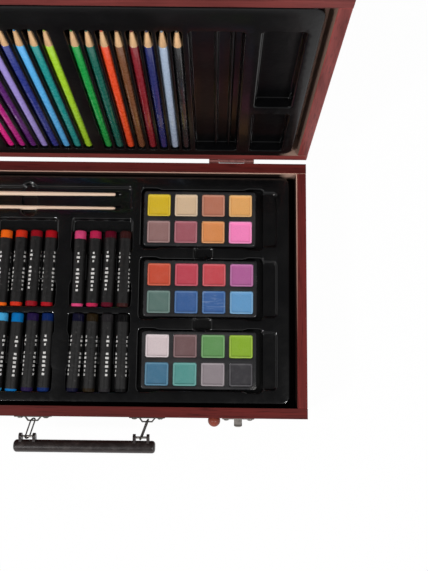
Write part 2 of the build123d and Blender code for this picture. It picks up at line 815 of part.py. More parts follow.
with BuildPart(lid_tray_face) as pencil_leads:
    with Locations(*[(x, lead_mid, pencil_axis) for x in all_pencil_xs]):
        Cone(pencil_point_radius, pencil_lead_radius, pencil_lead, rotation=ALONG_Y)
save(opened(pencil_leads.part), "pencil_leads")


# ---------------------------------------------------------------- hinges
def block_on_hinge(x_span, y_span, z_span):
    """A box given in the hinge's own frame, with spans in either order."""
    block(sorted(x_span), sorted(y_span), sorted(z_span))


def hinge_leaves(rise, knuckles):
    """Both leaves on the base (rise -1) or on the lid (rise 1), closed, about the hinge axis."""
    leaf_inner = rise * (hinge_knuckle_radius + hinge_leaf_gap)
    leaf_outer = rise * hinge_leaf_height
    plate = (-hinge_offset, -hinge_offset + metal)
    half_angle = radians((180 - lid_open_angle) / 2 - stop_play / 2)
    across, along = sin(half_angle), rise * cos(half_angle)
    stop_face = [(reach * across, reach * along) for reach in (stop_inner, stop_outer)]
    ear = [
        (plate[1], rise * stop_inner),
        *stop_face,
        (plate[1], rise * (stop_outer + stop_width)),
    ]
    with BuildPart(hinge_plane) as piece:
        for side in (-1, 1):
            middle = side * hinge_x
            left, right = middle - hinge_length / 2, middle + hinge_length / 2
            block_on_hinge((left, right), plate, (leaf_inner, leaf_outer))
            for start, length in knuckles:
                block_on_hinge((left + start, left + start + length), plate, (0, leaf_inner))
                with Locations((left + start + length / 2, 0, 0)):
                    Cylinder(hinge_knuckle_radius, length, rotation=ALONG_X)
            for ear_x in (left, right - stop_width):
                ear_face = Plane(
                    origin=hinge_plane.from_local_coords((ear_x, 0, 0)), x_dir=(0, 1, 0), z_dir=(1, 0, 0)
                )
                with BuildSketch(ear_face):
                    Polygon(*ear, align=None)
                extrude(amount=stop_width)
            with Locations((middle, 0, 0)):
                Cylinder(
                    hinge_pin_radius + hinge_pin_play, hinge_length, rotation=ALONG_X, mode=Mode.SUBTRACT
                )
    with BuildPart() as drilled:
        add(piece.part)
        spots = hinge_screws_low if rise < 0 else hinge_screws_high
        drill(back_face.offset(metal), spots, screw_radius + screw_play, metal)
    return drilled


centre_start = hinge_end_knuckle + hinge_knuckle_play
end_knuckles = [(0, hinge_end_knuckle), (hinge_length - hinge_end_knuckle, hinge_end_knuckle)]
centre_knuckle = [(centre_start, hinge_length - 2 * centre_start)]

save(hinge_leaves(-1, end_knuckles).part, "hinge_leaves_base")
save(opened(hinge_leaves(1, centre_knuckle).part), "hinge_leaves_lid")

with BuildPart(hinge_plane) as hinge_pins:
    with Locations((-hinge_x, 0, 0), (hinge_x, 0, 0)):
        Cylinder(hinge_pin_radius, hinge_length, rotation=ALONG_X)
save(hinge_pins.part, "hinge_pins")

save(screws(back_face, hinge_screws_low).part, "hinge_screws_base")
save(opened(screws(back_face, hinge_screws_high).part), "hinge_screws_lid")

# ---------------------------------------------------------------- handle
bracket_middles = [(-bracket_x, bracket_z), (bracket_x, bracket_z)]
handle_brackets = plates(front_face, bracket_middles, bracket_width, bracket_height, bracket_screws)
bridge_run = (bridge_foot - bridge_top) / 2
bridge_rise = bridge_reach - metal
bridge_side = bridge_metal * (bridge_run**2 + bridge_rise**2) ** 0.5 / bridge_rise
bridge_inner_top = bridge_top / 2 + bridge_run * bridge_metal / bridge_rise - bridge_side
bridge_inner_foot = bridge_foot / 2 - bridge_side


def trapezium(foot, top, low, high):
    """A four-sided outline in the open sketch, symmetrical about the vertical."""
    Polygon((-foot, low), (-top, high), (top, high), (foot, low), align=None)


with handle_brackets:
    for bracket_side in (-1, 1):
        bridge_plane = Plane(
            origin=(bracket_side * bracket_x, -half_depth, bracket_z + bridge_height / 2),
            x_dir=(1, 0, 0),
            z_dir=(0, 0, -1),
        )
        with BuildSketch(bridge_plane) as bridge_outside:
            trapezium(bridge_foot / 2, bridge_top / 2, metal, bridge_reach)
        extrude(bridge_outside.sketch, amount=bridge_height)
        with BuildSketch(bridge_plane) as bridge_inside:
            trapezium(bridge_inner_foot, bridge_inner_top, metal, bridge_reach - bridge_metal)
        extrude(bridge_inside.sketch, amount=bridge_height, mode=Mode.SUBTRACT)
save(handle_brackets.part, "handle_brackets")

bar_axis = Axis((0, -half_depth - bridge_bar, bracket_z), (1, 0, 0))
link_reach = link_length - 2 * link_hold
pin_shift = -link_reach * sin(radians(link_lean))
pin_y = -half_depth - bridge_bar - link_reach * cos(radians(link_lean))


def handle_link(x, twist):
    """An oblong wire link, threaded on the bridge at x, lying level and askew."""
    bar = (x, -half_depth - bridge_bar, bracket_z)
    link_plane = Plane(origin=bar, x_dir=(0, -1, 0), z_dir=(1, 0, 0))
    near = link_width / 2 - link_hold
    far = near + link_length - link_width
    side = link_width / 2
    with BuildPart() as piece:
        with BuildLine(link_plane) as loop:
            upper = Line((near, side), (far, side))
            ThreePointArc(upper @ 1, (far + side, 0), (far, -side))
            lower = Line((far, -side), (near, -side))
            ThreePointArc(lower @ 1, (near - side, 0), (near, side))
        with BuildSketch(Plane(origin=upper @ 0, z_dir=upper % 0)):
            Circle(link_wire)
        sweep(path=loop.wire())
    twisted = piece.part.rotate(Axis(bar, (0, -1, 0)), twist)
    return twisted.rotate(Axis(bar, (0, 0, 1)), -link_lean)


with BuildPart() as handle_links:
    for link_side, link_twist in zip((-1, 1), link_twists):
        add(handle_link(link_side * bracket_x, link_twist))
save(handle_links.part.rotate(bar_axis, handle_tilt), "handle_links")

grip_y = pin_y - grip_offset
fork_outer = fork_gap / 2 + fork_cheek
grip_length = 2 * (bracket_x + fork_outer + grip_overhang)
cheek_shift = (fork_gap + fork_cheek) / 2
cheek_xs = [
    pin_shift + side * bracket_x + cheek * cheek_shift for side in (-1, 1) for cheek in (-1, 1)
]
with BuildPart() as handle_grip:
    with Locations((pin_shift, grip_y, bracket_z)):
        Cylinder(grip_radius, grip_length, rotation=ALONG_X)
    fillet(handle_grip.edges().filter_by(GeomType.CIRCLE), grip_round)
    for cheek_x in cheek_xs:
        cheek_plane = Plane(
            origin=(cheek_x - fork_cheek / 2, pin_y, bracket_z), x_dir=(0, -1, 0), z_dir=(1, 0, 0)
        )
        with BuildSketch(cheek_plane):
            with Locations((grip_offset / 2, 0)):
                SlotCenterToCenter(grip_offset, 2 * fork_radius)
        extrude(amount=fork_cheek)
    with Locations((pin_shift, pin_y, bracket_z)):
        Cylinder(fork_pin_radius + screw_play, grip_length, rotation=ALONG_X, mode=Mode.SUBTRACT)
save(handle_grip.part.rotate(bar_axis, handle_tilt), "handle_grip")

with BuildPart() as grip_pins:
    with Locations(*[(pin_shift + side * bracket_x, pin_y, bracket_z) for side in (-1, 1)]):
        Cylinder(fork_pin_radius, 2 * fork_outer, rotation=ALONG_X)
save(grip_pins.part.rotate(bar_axis, handle_tilt), "grip_pins")

save(screws(front_face, bracket_screws + catch_screws).part, "front_screws")

# ---------------------------------------------------------------- latches
catch_middles = [(-latch_x, catch_z), (latch_x, catch_z)]
catch_plates = plates(front_face, catch_middles, catch_width, catch_height, catch_screws)
with catch_plates:
    with Locations(*[(x, z, metal) for x, z in catch_middles]):
        Box(lug_width, lug_metal, lug_reach - metal, align=FLOOR)
    with Locations(*[(x, z + lug_hook / 2, lug_reach) for x, z in catch_middles]):
        Box(lug_width, lug_metal + lug_hook, lug_metal, align=CEILING)
save(catch_plates.part, "catch_plates")

hasp_middles = [(-latch_x, hasp_screw_z), (latch_x, hasp_screw_z)]
hasp_plates = plates(front_face, hasp_middles, catch_width, hasp_plate_height, hasp_screws)
ear_shift = (hasp_knuckle + hasp_ear) / 2 + hasp_ear_play
ear_xs = [side * latch_x + ear * ear_shift for side in (-1, 1) for ear in (-1, 1)]
with hasp_plates:
    with Locations(*[(x, hasp_z, 0) for x in ear_xs]):
        Box(hasp_ear, 2 * hasp_knuckle_radius, hasp_offset, align=FLOOR)
    with Locations(*[(x, hasp_z, hasp_offset) for x in ear_xs]):
        Cylinder(hasp_knuckle_radius, hasp_ear, rotation=ALONG_X)
        Cylinder(hasp_pin_radius + hasp_pin_play, hasp_ear, rotation=ALONG_X, mode=Mode.SUBTRACT)
save(opened(hasp_plates.part), "hasp_plates")
save(opened(screws(front_face, hasp_screws).part), "hasp_screws")

hasp_pin_length = hasp_knuckle + 2 * (hasp_ear + hasp_ear_play)
with BuildPart(front_face) as hasp_pins:
    with Locations(*[(side * latch_x, hasp_z, hasp_offset) for side in (-1, 1)]):
        Cylinder(hasp_pin_radius, hasp_pin_length, rotation=ALONG_X)
save(opened(hasp_pins.part), "hasp_pins")


def hasp(side):
    """A hasp hanging from its pin, with a window for the lug and a finger lip."""
    x = side * latch_x
    hasp_leaf_top = hasp_z - hasp_knuckle_radius - hinge_leaf_gap / 2
    hasp_foot = hasp_z - hasp_length
    leaf = (-half_depth - hasp_offset - metal / 2, -half_depth - hasp_offset + metal / 2)
    with BuildPart() as piece:
        block((x - hasp_width / 2, x + hasp_width / 2), leaf, (hasp_foot, hasp_leaf_top))
        block((x - hasp_knuckle / 2, x + hasp_knuckle / 2), leaf, (hasp_leaf_top, hasp_z))
        with Locations((x, -half_depth - hasp_offset, hasp_z)):
            Cylinder(hasp_knuckle_radius, hasp_knuckle, rotation=ALONG_X)
        lip = (leaf[0] - hasp_lip, leaf[1])
        block((x - hasp_width / 2, x + hasp_width / 2), lip, (hasp_foot, hasp_foot + metal))
        window = (catch_z - hasp_window_height / 2, catch_z + hasp_window_height / 2)
        block((x - hasp_window_width / 2, x + hasp_window_width / 2), leaf, window, Mode.SUBTRACT)
        with Locations((x, -half_depth - hasp_offset, hasp_z)):
            Cylinder(hasp_pin_radius + hasp_pin_play, hasp_knuckle, rotation=ALONG_X, mode=Mode.SUBTRACT)
    return piece.part.rotate(hasp_axis, -hasp_flip_angle)


save(opened(hasp(-1)), "hasp_left")
save(opened(hasp(1)), "hasp_right")
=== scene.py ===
"""Looks of an open wooden case of paints, pastels and pencils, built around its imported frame."""

import json
import math

import bmesh
import bpy
import numpy as np
from bpy.props import FloatProperty, FloatVectorProperty, PointerProperty
from mathutils import Matrix, Vector
from mathutils.geometry import delaunay_2d_cdt

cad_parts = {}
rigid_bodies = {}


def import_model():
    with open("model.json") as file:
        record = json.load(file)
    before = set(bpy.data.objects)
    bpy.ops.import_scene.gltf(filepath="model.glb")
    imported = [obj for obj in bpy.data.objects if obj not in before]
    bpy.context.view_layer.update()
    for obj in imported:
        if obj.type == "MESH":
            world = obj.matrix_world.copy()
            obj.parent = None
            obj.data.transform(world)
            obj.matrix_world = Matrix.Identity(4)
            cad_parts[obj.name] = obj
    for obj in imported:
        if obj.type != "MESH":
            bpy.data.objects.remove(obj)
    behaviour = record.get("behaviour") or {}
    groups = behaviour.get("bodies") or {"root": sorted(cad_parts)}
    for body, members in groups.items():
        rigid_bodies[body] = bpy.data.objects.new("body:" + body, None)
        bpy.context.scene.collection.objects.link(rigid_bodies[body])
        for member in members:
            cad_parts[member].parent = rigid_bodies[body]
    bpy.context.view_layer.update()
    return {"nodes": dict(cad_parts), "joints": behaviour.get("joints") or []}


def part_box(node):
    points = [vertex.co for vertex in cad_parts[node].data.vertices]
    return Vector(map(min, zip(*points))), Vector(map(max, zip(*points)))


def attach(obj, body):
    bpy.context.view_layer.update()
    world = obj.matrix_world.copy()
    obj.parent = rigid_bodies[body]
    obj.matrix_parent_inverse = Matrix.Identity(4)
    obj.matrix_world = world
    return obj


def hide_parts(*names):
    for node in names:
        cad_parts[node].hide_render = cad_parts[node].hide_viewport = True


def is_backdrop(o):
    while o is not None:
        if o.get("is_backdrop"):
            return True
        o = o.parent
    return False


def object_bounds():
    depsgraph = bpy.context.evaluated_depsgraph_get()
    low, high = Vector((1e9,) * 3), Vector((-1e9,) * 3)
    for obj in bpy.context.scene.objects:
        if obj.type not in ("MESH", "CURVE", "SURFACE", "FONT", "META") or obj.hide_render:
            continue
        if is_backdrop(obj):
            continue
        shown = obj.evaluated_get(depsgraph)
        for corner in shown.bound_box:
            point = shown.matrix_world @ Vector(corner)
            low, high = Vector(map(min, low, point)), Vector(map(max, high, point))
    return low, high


bl_info = {
    "name": "Wooden paint case",
    "version": (1, 0, 0),
    "blender": (4, 5, 0),
    "location": "3D View > Sidebar > Paint case",
    "description": "Dresses the packed frame of a wooden case of paints, pastels and pencils",
    "category": "Object",
}

for leftover in list(bpy.data.objects):
    bpy.data.objects.remove(leftover)
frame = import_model()

MM = 0.001
SAME_PLACE = 1e-6  # metres between corners that count as one
BAYS = ("left", "middle", "right")
ROWS = ("back", "front")
PALETTES = ("back", "middle", "front")


# ------------------------------------------------------------------ places read from the frame
def joint(name):
    """The named joint of the frame."""
    return next(j for j in frame["joints"] if j["name"] == name)


def opening_turn():
    """The matrix that carries a point of the shut lid to its place on the open one."""
    hinge = joint("lid_hinge")
    pivot = Matrix.Translation(Vector(hinge["pos_m"]))
    turn = Matrix.Rotation(-math.radians(hinge["range_deg"][0]), 4, Vector(hinge["axis"]))
    return pivot @ turn @ pivot.inverted()


OPEN = opening_turn()
SHUT = OPEN.inverted()


def node_mesh(node):
    """A CAD node's mesh for editing, its faces joined; the caller frees it."""
    mesh = bmesh.new()
    mesh.from_mesh(frame["nodes"][node].data)
    bmesh.ops.remove_doubles(mesh, verts=mesh.verts, dist=SAME_PLACE)
    return mesh


def solids_of(node, place=Matrix.Identity(4)):
    """(lowest, highest corner) of each separate solid of a CAD node, from left to right."""
    mesh = node_mesh(node)
    waiting = set(mesh.verts)
    boxes = []
    while waiting:
        front = [waiting.pop()]
        corners = []
        while front:
            vertex = front.pop()
            corners.append(place @ vertex.co)
            for edge in vertex.link_edges:
                other = edge.other_vert(vertex)
                if other in waiting:
                    waiting.remove(other)
                    front.append(other)
        array = np.array(corners)
        boxes.append((Vector(array.min(0)), Vector(array.max(0))))
    mesh.free()
    return sorted(boxes, key=lambda box: (round(box[0].x, 4), round(box[0].y, 4)))


def middle(box):
    """The centre of a box given by its two corners."""
    return (box[0] + box[1]) / 2


# ------------------------------------------------------------------ small mesh tools
def linked(name, data):
    """A new object at the origin with the given data, linked to the scene."""
    piece = bpy.data.objects.new(name, data)
    bpy.context.scene.collection.objects.link(piece)
    return piece


def new_mesh_object(name, vertices, faces):
    """An object with the given mesh, smooth all over."""
    mesh = bpy.data.meshes.new(name)
    mesh.from_pydata([tuple(v) for v in vertices], [], [tuple(f) for f in faces])
    mesh.validate()
    mesh.polygons.foreach_set("use_smooth", [True] * len(mesh.polygons))
    return linked(name, mesh)


def drop(piece):
    """Remove a helper object from the scene."""
    bpy.data.objects.remove(piece)


def settled(piece, name):
    """Turn an object and its modifiers into a plain mesh object at the origin."""
    bpy.context.view_layer.update()
    graph = bpy.context.evaluated_depsgraph_get()
    mesh = bpy.data.meshes.new_from_object(piece.evaluated_get(graph), depsgraph=graph)
    drop(piece)
    return linked(name, mesh)


def softened(node, name, width, segments=2, angle=30, rounded=0.0):
    """A copy of a CAD node with its sharp edges rounded over, and its foremost corners too."""
    mesh = node_mesh(node)
    bmesh.ops.dissolve_limit(mesh, angle_limit=math.radians(1), verts=mesh.verts, edges=mesh.edges)
    if rounded:
        near = 10 * SAME_PLACE
        front = min(vertex.co.y for vertex in mesh.verts) + near
        upright = [
            edge for edge in mesh.edges
            if all(vertex.co.y < front for vertex in edge.verts)
            and abs(edge.verts[0].co.x - edge.verts[1].co.x) < near
        ]
        bmesh.ops.bevel(mesh, geom=upright, offset=rounded, segments=6, profile=0.5, affect="EDGES")
    data = bpy.data.meshes.new(name)
    mesh.to_mesh(data)
    mesh.free()
    data.materials.clear()  # every face starts on the first material
    piece = linked(name, data)
    bevel = piece.modifiers.new("edges", "BEVEL")
    bevel.width = width
    bevel.segments = segments
    bevel.limit_method = "ANGLE"
    bevel.angle_limit = math.radians(angle)
    piece = settled(piece, name)
    smooth_by_angle(piece, angle)
    level = piece.modifiers.new("level flats", "WEIGHTED_NORMAL")
    level.weight = 100
    level.keep_sharp = True
    return settled(piece, name)


def smooth_by_angle(piece, angle=35):
    """Smooth shading with creases kept where faces meet at more than an angle."""
    mesh = piece.data
    mesh.polygons.foreach_set("use_smooth", [True] * len(mesh.polygons))
    mesh.set_sharp_from_angle(angle=math.radians(angle))


def paint_all(piece, material):
    """Give a piece one material."""
    piece.data.materials.clear()
    piece.data.materials.append(material)
    piece.data.polygons.foreach_set("material_index", [0] * len(piece.data.polygons))


def hand_over(piece, body, node):
    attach(piece, body)
    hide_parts(node)


def ring_stack(rings, close_start=True, close_end=True):
    """Vertices and faces of a skin over rings of equal count, each a list of points."""
    count = len(rings[0])
    vertices = [point for ring in rings for point in ring]
    faces = []
    for level in range(len(rings) - 1):
        low, high = level * count, (level + 1) * count
        for place in range(count):
            after = (place + 1) % count
            faces.append((low + place, low + after, high + after, high + place))
    if close_start:
        faces.append(tuple(reversed(range(count))))
    if close_end:
        faces.append(tuple(range((len(rings) - 1) * count, len(rings) * count)))
    return vertices, faces


def in_metres(profile):
    """(place, radius) pairs in millimetres, as metres."""
    return [(place * MM, radius * MM) for place, radius in profile]


def turned(name, profile, count, along):
    """A body of revolution about an axis through the origin, from (place, radius) pairs in metres."""
    facing = Vector((0, 0, 1)).rotation_difference(Vector(along)).to_matrix()
    angles = [2 * math.pi * step / count for step in range(count)]
    rings = [
        [facing @ Vector((radius * math.cos(a), radius * math.sin(a), place)) for a in angles]
        for place, radius in profile
    ]
    return new_mesh_object(name, *ring_stack(rings))


def rounded_ring(half_x, half_y, corner, height, steps=5):
    """A rounded rectangle as a ring of points at one height, counter-clockwise."""
    ring = []
    for quarter, (sign_x, sign_y) in enumerate(((1, 1), (-1, 1), (-1, -1), (1, -1))):
        for step in range(steps + 1):
            angle = math.pi / 2 * (quarter + step / steps)
            x = sign_x * (half_x - corner) + corner * math.cos(angle)
            y = sign_y * (half_y - corner) + corner * math.sin(angle)
            ring.append(Vector((x, y, height)))
    return ring


# ------------------------------------------------------------------ formed and moulded sheets
WAVE_X, WAVE_Y, WAVE_START = 23, 17, 1.3  # the slow waves of a sheet: millimetres a radian, and radians
RISE = 0.3  # the height over which two hollows of a sheet run into each other, in millimetres


def smooth_larger(a, b, reach):
    """The larger of two fields, with the valley between them rounded over a reach."""
    share = np.clip(1 - np.abs(a - b) / reach, 0, 1)
    return np.maximum(a, b) + share * share * reach / 4


class Hollow:
    """A recess with a rounded rim, leaning walls and a rounded root; all sizes in millimetres.

    boxes are (middle x, middle y, width, length, corner), blend rounds the valleys between them,
    lean is the wall's tilt in degrees, extra holds depths at which the wall needs a line of its own,
    and with up=True it is a raised ridge that stands on base."""

    def __init__(self, boxes, depth, lean, rim, root, blend=2.0, base=0.0, up=False, extra=()):
        self.boxes, self.blend, self.base, self.up = boxes, blend, base, up
        self.distances, self.heights = self.wall(depth, math.radians(90 - lean), rim, root)
        self.extra = extra

    @staticmethod
    def wall(depth, slope, rim, root, steps=4):
        """The wall's section: distances inward from the outline, and heights below the rim."""
        turns = [slope * step / steps for step in range(steps + 1)]
        bend = 1 - math.cos(slope)
        shrink = min(1.0, 0.98 * depth / ((rim + root) * bend))
        rim, root = rim * shrink, root * shrink
        run = (depth - (rim + root) * bend) / math.tan(slope)
        start = [(rim * math.sin(t), rim * (1 - math.cos(t))) for t in turns]
        far = (rim + root) * math.sin(slope) + run
        end = [(far - root * math.sin(t), depth - root * (1 - math.cos(t))) for t in reversed(turns)]
        across, down = zip(*(start + end))
        return np.array(across), np.array(down)

    def inside(self, x, y):
        """How far each point lies inside the outline."""
        field = None
        for mid_x, mid_y, width, length, corner in self.boxes:
            away_x = np.abs(x - mid_x) - width / 2 + corner
            away_y = np.abs(y - mid_y) - length / 2 + corner
            outer = np.hypot(np.maximum(away_x, 0), np.maximum(away_y, 0))
            distance = corner - outer - np.minimum(np.maximum(away_x, away_y), 0)
            field = distance if field is None else smooth_larger(field, distance, self.blend)
        return field

    def height(self, x, y):
        """The height that this shape gives at each point, by itself."""
        drop_here = np.interp(self.inside(x, y), self.distances, self.heights)
        return self.base + drop_here if self.up else self.base - drop_here

    def levels(self):
        """The distances inside the outline at which the mesh needs a line."""
        if not self.extra:
            return self.distances
        at_depths = np.interp(self.extra, self.heights, self.distances)
        return sorted(set(self.distances) | set(at_depths))


def contour(field, level, x_lines, y_lines):
    """Chains of points where a sampled field crosses a level, as lists of (x, y)."""
    above = field >= level
    crossing = {}
    points = []

    def add(kind, row, column, share):
        crossing[(kind, row, column)] = len(points)
        if kind == "x":
            step = x_lines[column + 1] - x_lines[column]
            points.append((x_lines[column] + share * step, y_lines[row]))
        else:
            step = y_lines[row + 1] - y_lines[row]
            points.append((x_lines[column], y_lines[row] + share * step))

    for row, column in np.argwhere(above[:, 1:] != above[:, :-1]):
        low, high = field[row, column], field[row, column + 1]
        add("x", row, column, (level - low) / (high - low))
    for row, column in np.argwhere(above[1:, :] != above[:-1, :]):
        low, high = field[row, column], field[row + 1, column]
        add("y", row, column, (level - low) / (high - low))
    corners = above.astype(int)
    mixed = corners[:-1, :-1] + corners[:-1, 1:] + corners[1:, :-1] + corners[1:, 1:]
    links = {}
    for row, column in np.argwhere((mixed > 0) & (mixed < 4)):
        sides = (("x", row, column), ("y", row, column + 1), ("x", row + 1, column), ("y", row, column))
        found = [crossing[side] for side in sides if side in crossing]
        for first, second in zip(found[0::2], found[1::2]):
            links.setdefault(first, []).append(second)
            links.setdefault(second, []).append(first)
    chains = []
    unused = set(links)
    while unused:
        start = unused.pop()
        chain = [start]
        while True:
            onward = [n for n in links[chain[-1]] if n in unused]
            if not onward:
                break
            unused.discard(onward[0])
            chain.append(onward[0])
        chains.append(([points[n] for n in chain], start in links[chain[-1]]))
    return chains


def thinned(array, turn=math.radians(6), longest=9.0):
    """Drop the points of a chain that lie on straight runs."""
    if len(array) < 4:
        return array
    kept = [0]
    for place in range(1, len(array) - 1):
        step = array[place] - array[kept[-1]]
        ahead = array[place + 1] - array[place]
        cross = step[0] * ahead[1] - step[1] * ahead[0]
        bend = abs(math.atan2(cross, float(step @ ahead)))
        if bend > turn or np.hypot(*step) > longest:
            kept.append(place)
    kept.append(len(array) - 1)
    return array[kept]


def sheet_mesh(edge, hollows, warp=0.0, cell=0.5, filler=9.0):
    """A formed sheet seen from above, in millimetres: an edge shape, hollows and ridges.

    edge is a Hollow whose outline is the sheet's own; its wall is the skirt, counted from outside.
    warp is the height of its slow waves, cell the step at which outlines are traced, and filler the
    spacing of the points on flat parts."""
    points, edges = [], []

    def lay(shape, levels):
        spans = [edge_span(box) for box in shape.boxes]
        low = np.min([span[0] for span in spans], 0) - 2 * cell
        high = np.max([span[1] for span in spans], 0) + 3 * cell
        x_lines, y_lines = np.arange(low[0], high[0], cell), np.arange(low[1], high[1], cell)
        field = shape.inside(*np.meshgrid(x_lines, y_lines))
        for level in levels:
            for chain, closed in contour(field, level, x_lines, y_lines):
                array = np.array(chain)
                for _ in range(2):
                    array = pulled(shape, array, level)
                array = thinned(array)
                base = len(points)
                points.extend(array)
                count = len(array)
                edges.extend((base + n, base + n + 1) for n in range(count - 1))
                if closed and count > 2:
                    edges.append((base + count - 1, base))

    skirt_width = edge.distances[-1]
    lay(edge, [max(skirt_width - level, 0.0) for level in edge.distances])
    for hollow in hollows:
        lay(hollow, [max(level, 1e-3) for level in hollow.levels()])
    low, high = edge_span(edge.boxes[0])
    lines = [np.arange(low[n] + 4, high[n] - 2, filler) for n in (0, 1)]
    loose = np.stack(np.meshgrid(*lines), -1)
    points.extend(loose.reshape(-1, 2))
    flat = [Vector((float(x), float(y))) for x, y in points]
    made, _, faces, *_ = delaunay_2d_cdt(flat, edges, [], 0, 1e-4)
    x = np.array([v.x for v in made])
    y = np.array([v.y for v in made])
    z = sheet_height(edge, hollows, x, y)
    z = z - warp * (1 + np.sin(x / WAVE_X + WAVE_START) * np.cos(y / WAVE_Y))
    return np.stack((x, y, z), 1) * MM, [tuple(face) for face in faces]


def edge_span(box):
    """The lowest and highest corner of one box of an outline."""
    mid_x, mid_y, width, length, _ = box
    low = np.array((mid_x - width / 2, mid_y - length / 2))
    return low, low + (width, length)


def pulled(shape, array, level, reach=0.02):
    """Move points onto a shape's level line, along the field's slope."""
    x, y = array[:, 0], array[:, 1]
    here = shape.inside(x, y)
    slope_x = (shape.inside(x + reach, y) - shape.inside(x - reach, y)) / (2 * reach)
    slope_y = (shape.inside(x, y + reach) - shape.inside(x, y - reach)) / (2 * reach)
    size = np.maximum(slope_x**2 + slope_y**2, 0.25)
    step = np.clip((level - here) / size, -0.5, 0.5)
    return np.stack((x + step * slope_x, y + step * slope_y), 1)


def sheet_height(edge, hollows, x, y):
    """The height of a sheet over points: the lowest hollow, then ridges, then the skirt."""
    z = np.zeros(len(x))
    for hollow in hollows:
        if hollow.up:
            continue
        here = hollow.height(x, y)
        share = np.clip(1 - np.abs(z - here) / RISE, 0, 1)
        below = np.clip(-np.maximum(z, here) / RISE, 0, 1)
        z = np.minimum(z, here) - share * share * below * RISE / 4
    for ridge in hollows:
        if ridge.up:
            z = np.maximum(z, ridge.height(x, y))
    skirt_width = edge.distances[-1]
    fall = np.interp(skirt_width - edge.inside(x, y), edge.distances, edge.heights)
    return np.minimum(z, -fall)


def sheet_piece(name, edge, hollows, thickness, place, **settings):
    """A formed sheet of real thickness, put in its place."""
    vertices, faces = sheet_mesh(edge, hollows, **settings)
    piece = new_mesh_object(name, vertices, faces)
    piece.data.transform(place)
    solidify = piece.modifiers.new("thickness", "SOLIDIFY")
    solidify.thickness = thickness
    solidify.offset = -1
    return settled(piece, name)


# ------------------------------------------------------------------ finishes
def tone(red, green, blue):
    """A colour picked in screen values 0-255, as Blender's own linear values."""
    def linear(value):
        share = value / 255
        return share / 12.92 if share <= 0.04045 else ((share + 0.055) / 1.055) ** 2.4

    return (linear(red), linear(green), linear(blue), 1.0)


def shade(colour, factor):
    """A lighter or darker version of a colour."""
    return tuple(min(1.0, channel * factor) for channel in colour[:3]) + (1.0,)


class Finish:
    """A material being made: its Principled shader and short ways to add nodes."""

    def __init__(self, name, colour=(0.5, 0.5, 0.5, 1), **sockets):
        self.material = bpy.data.materials.new(name)
        self.material.use_nodes = True
        self.tree = self.material.node_tree
        self.shader = self.tree.nodes["Principled BSDF"]
        self.shader.inputs["Base Color"].default_value = colour
        for socket, value in sockets.items():
            self.shader.inputs[socket.replace("_", " ")].default_value = value
        self.place = self.node("ShaderNodeTexCoord").outputs["Object"]

    def node(self, kind, links=None, **settings):
        """Add a node; links maps a socket name or number to a value or another node's output."""
        node = self.tree.nodes.new(kind)
        for setting, value in settings.items():
            setattr(node, setting, value)
        for socket, value in (links or {}).items():
            if isinstance(value, bpy.types.NodeSocket):
                self.tree.links.new(value, node.inputs[socket])
            else:
                node.inputs[socket].default_value = value
        return node

    def stretched(self, scale, turn=(0, 0, 0)):
        """Coordinates scaled along each axis."""
        links = {"Vector": self.place, "Scale": scale, "Rotation": turn}
        return self.node("ShaderNodeMapping", links).outputs[0]

    def parts(self, vector=None):
        """The three parts of a vector, or of the place on the piece."""
        return self.node("ShaderNodeSeparateXYZ", {0: vector or self.place}).outputs

    def noise(self, scale, detail=4.0, rough=0.55, where=None, bend=0.0):
        """A noise value over the piece."""
        links = {"Vector": where or self.place, "Scale": scale, "Detail": detail}
        links.update({"Roughness": rough, "Distortion": bend})
        return self.node("ShaderNodeTexNoise", links).outputs["Fac"]

    def spread(self, value, low, high, to_low=0.0, to_high=1.0):
        """A value carried from one span to another, and held there."""
        links = {"Value": value, "From Min": low, "From Max": high, "To Min": to_low, "To Max": to_high}
        return self.node("ShaderNodeMapRange", links).outputs[0]

    def sum(self, first, second, operation="ADD"):
        """Arithmetic on two values."""
        return self.node("ShaderNodeMath", {0: first, 1: second}, operation=operation).outputs[0]

    def times(self, first, second):
        """Two values multiplied."""
        return self.sum(first, second, "MULTIPLY")

    def unsigned(self, value):
        """A value without its sign."""
        return self.sum(value, 0.0, "ABSOLUTE")

    def mix(self, share, first, second):
        """Two colours mixed."""
        links = {"Factor": share, 6: first, 7: second}
        return self.node("ShaderNodeMix", links, data_type="RGBA").outputs[2]

    def veil(self, value, low, high, most, under, over):
        """A colour with another laid over it, the more so as a value rises from low to high."""
        return self.mix(self.spread(value, low, high, 0, most), under, over)

    def read(self, name, output="Color"):
        """A named attribute of the mesh."""
        return self.node("ShaderNodeAttribute", attribute_name=name).outputs[output]

    def set(self, socket, value):
        """Link a value to one of the shader's sockets."""
        self.tree.links.new(value, self.shader.inputs[socket])

    def bump(self, height, strength=0.3, depth=0.0003, under=None):
        """Raise the surface by a height value."""
        links = {"Height": height, "Strength": strength, "Distance": depth}
        if under:
            links["Normal"] = under
        normal = self.node("ShaderNodeBump", links).outputs[0]
        self.set("Normal", normal)
        return normal


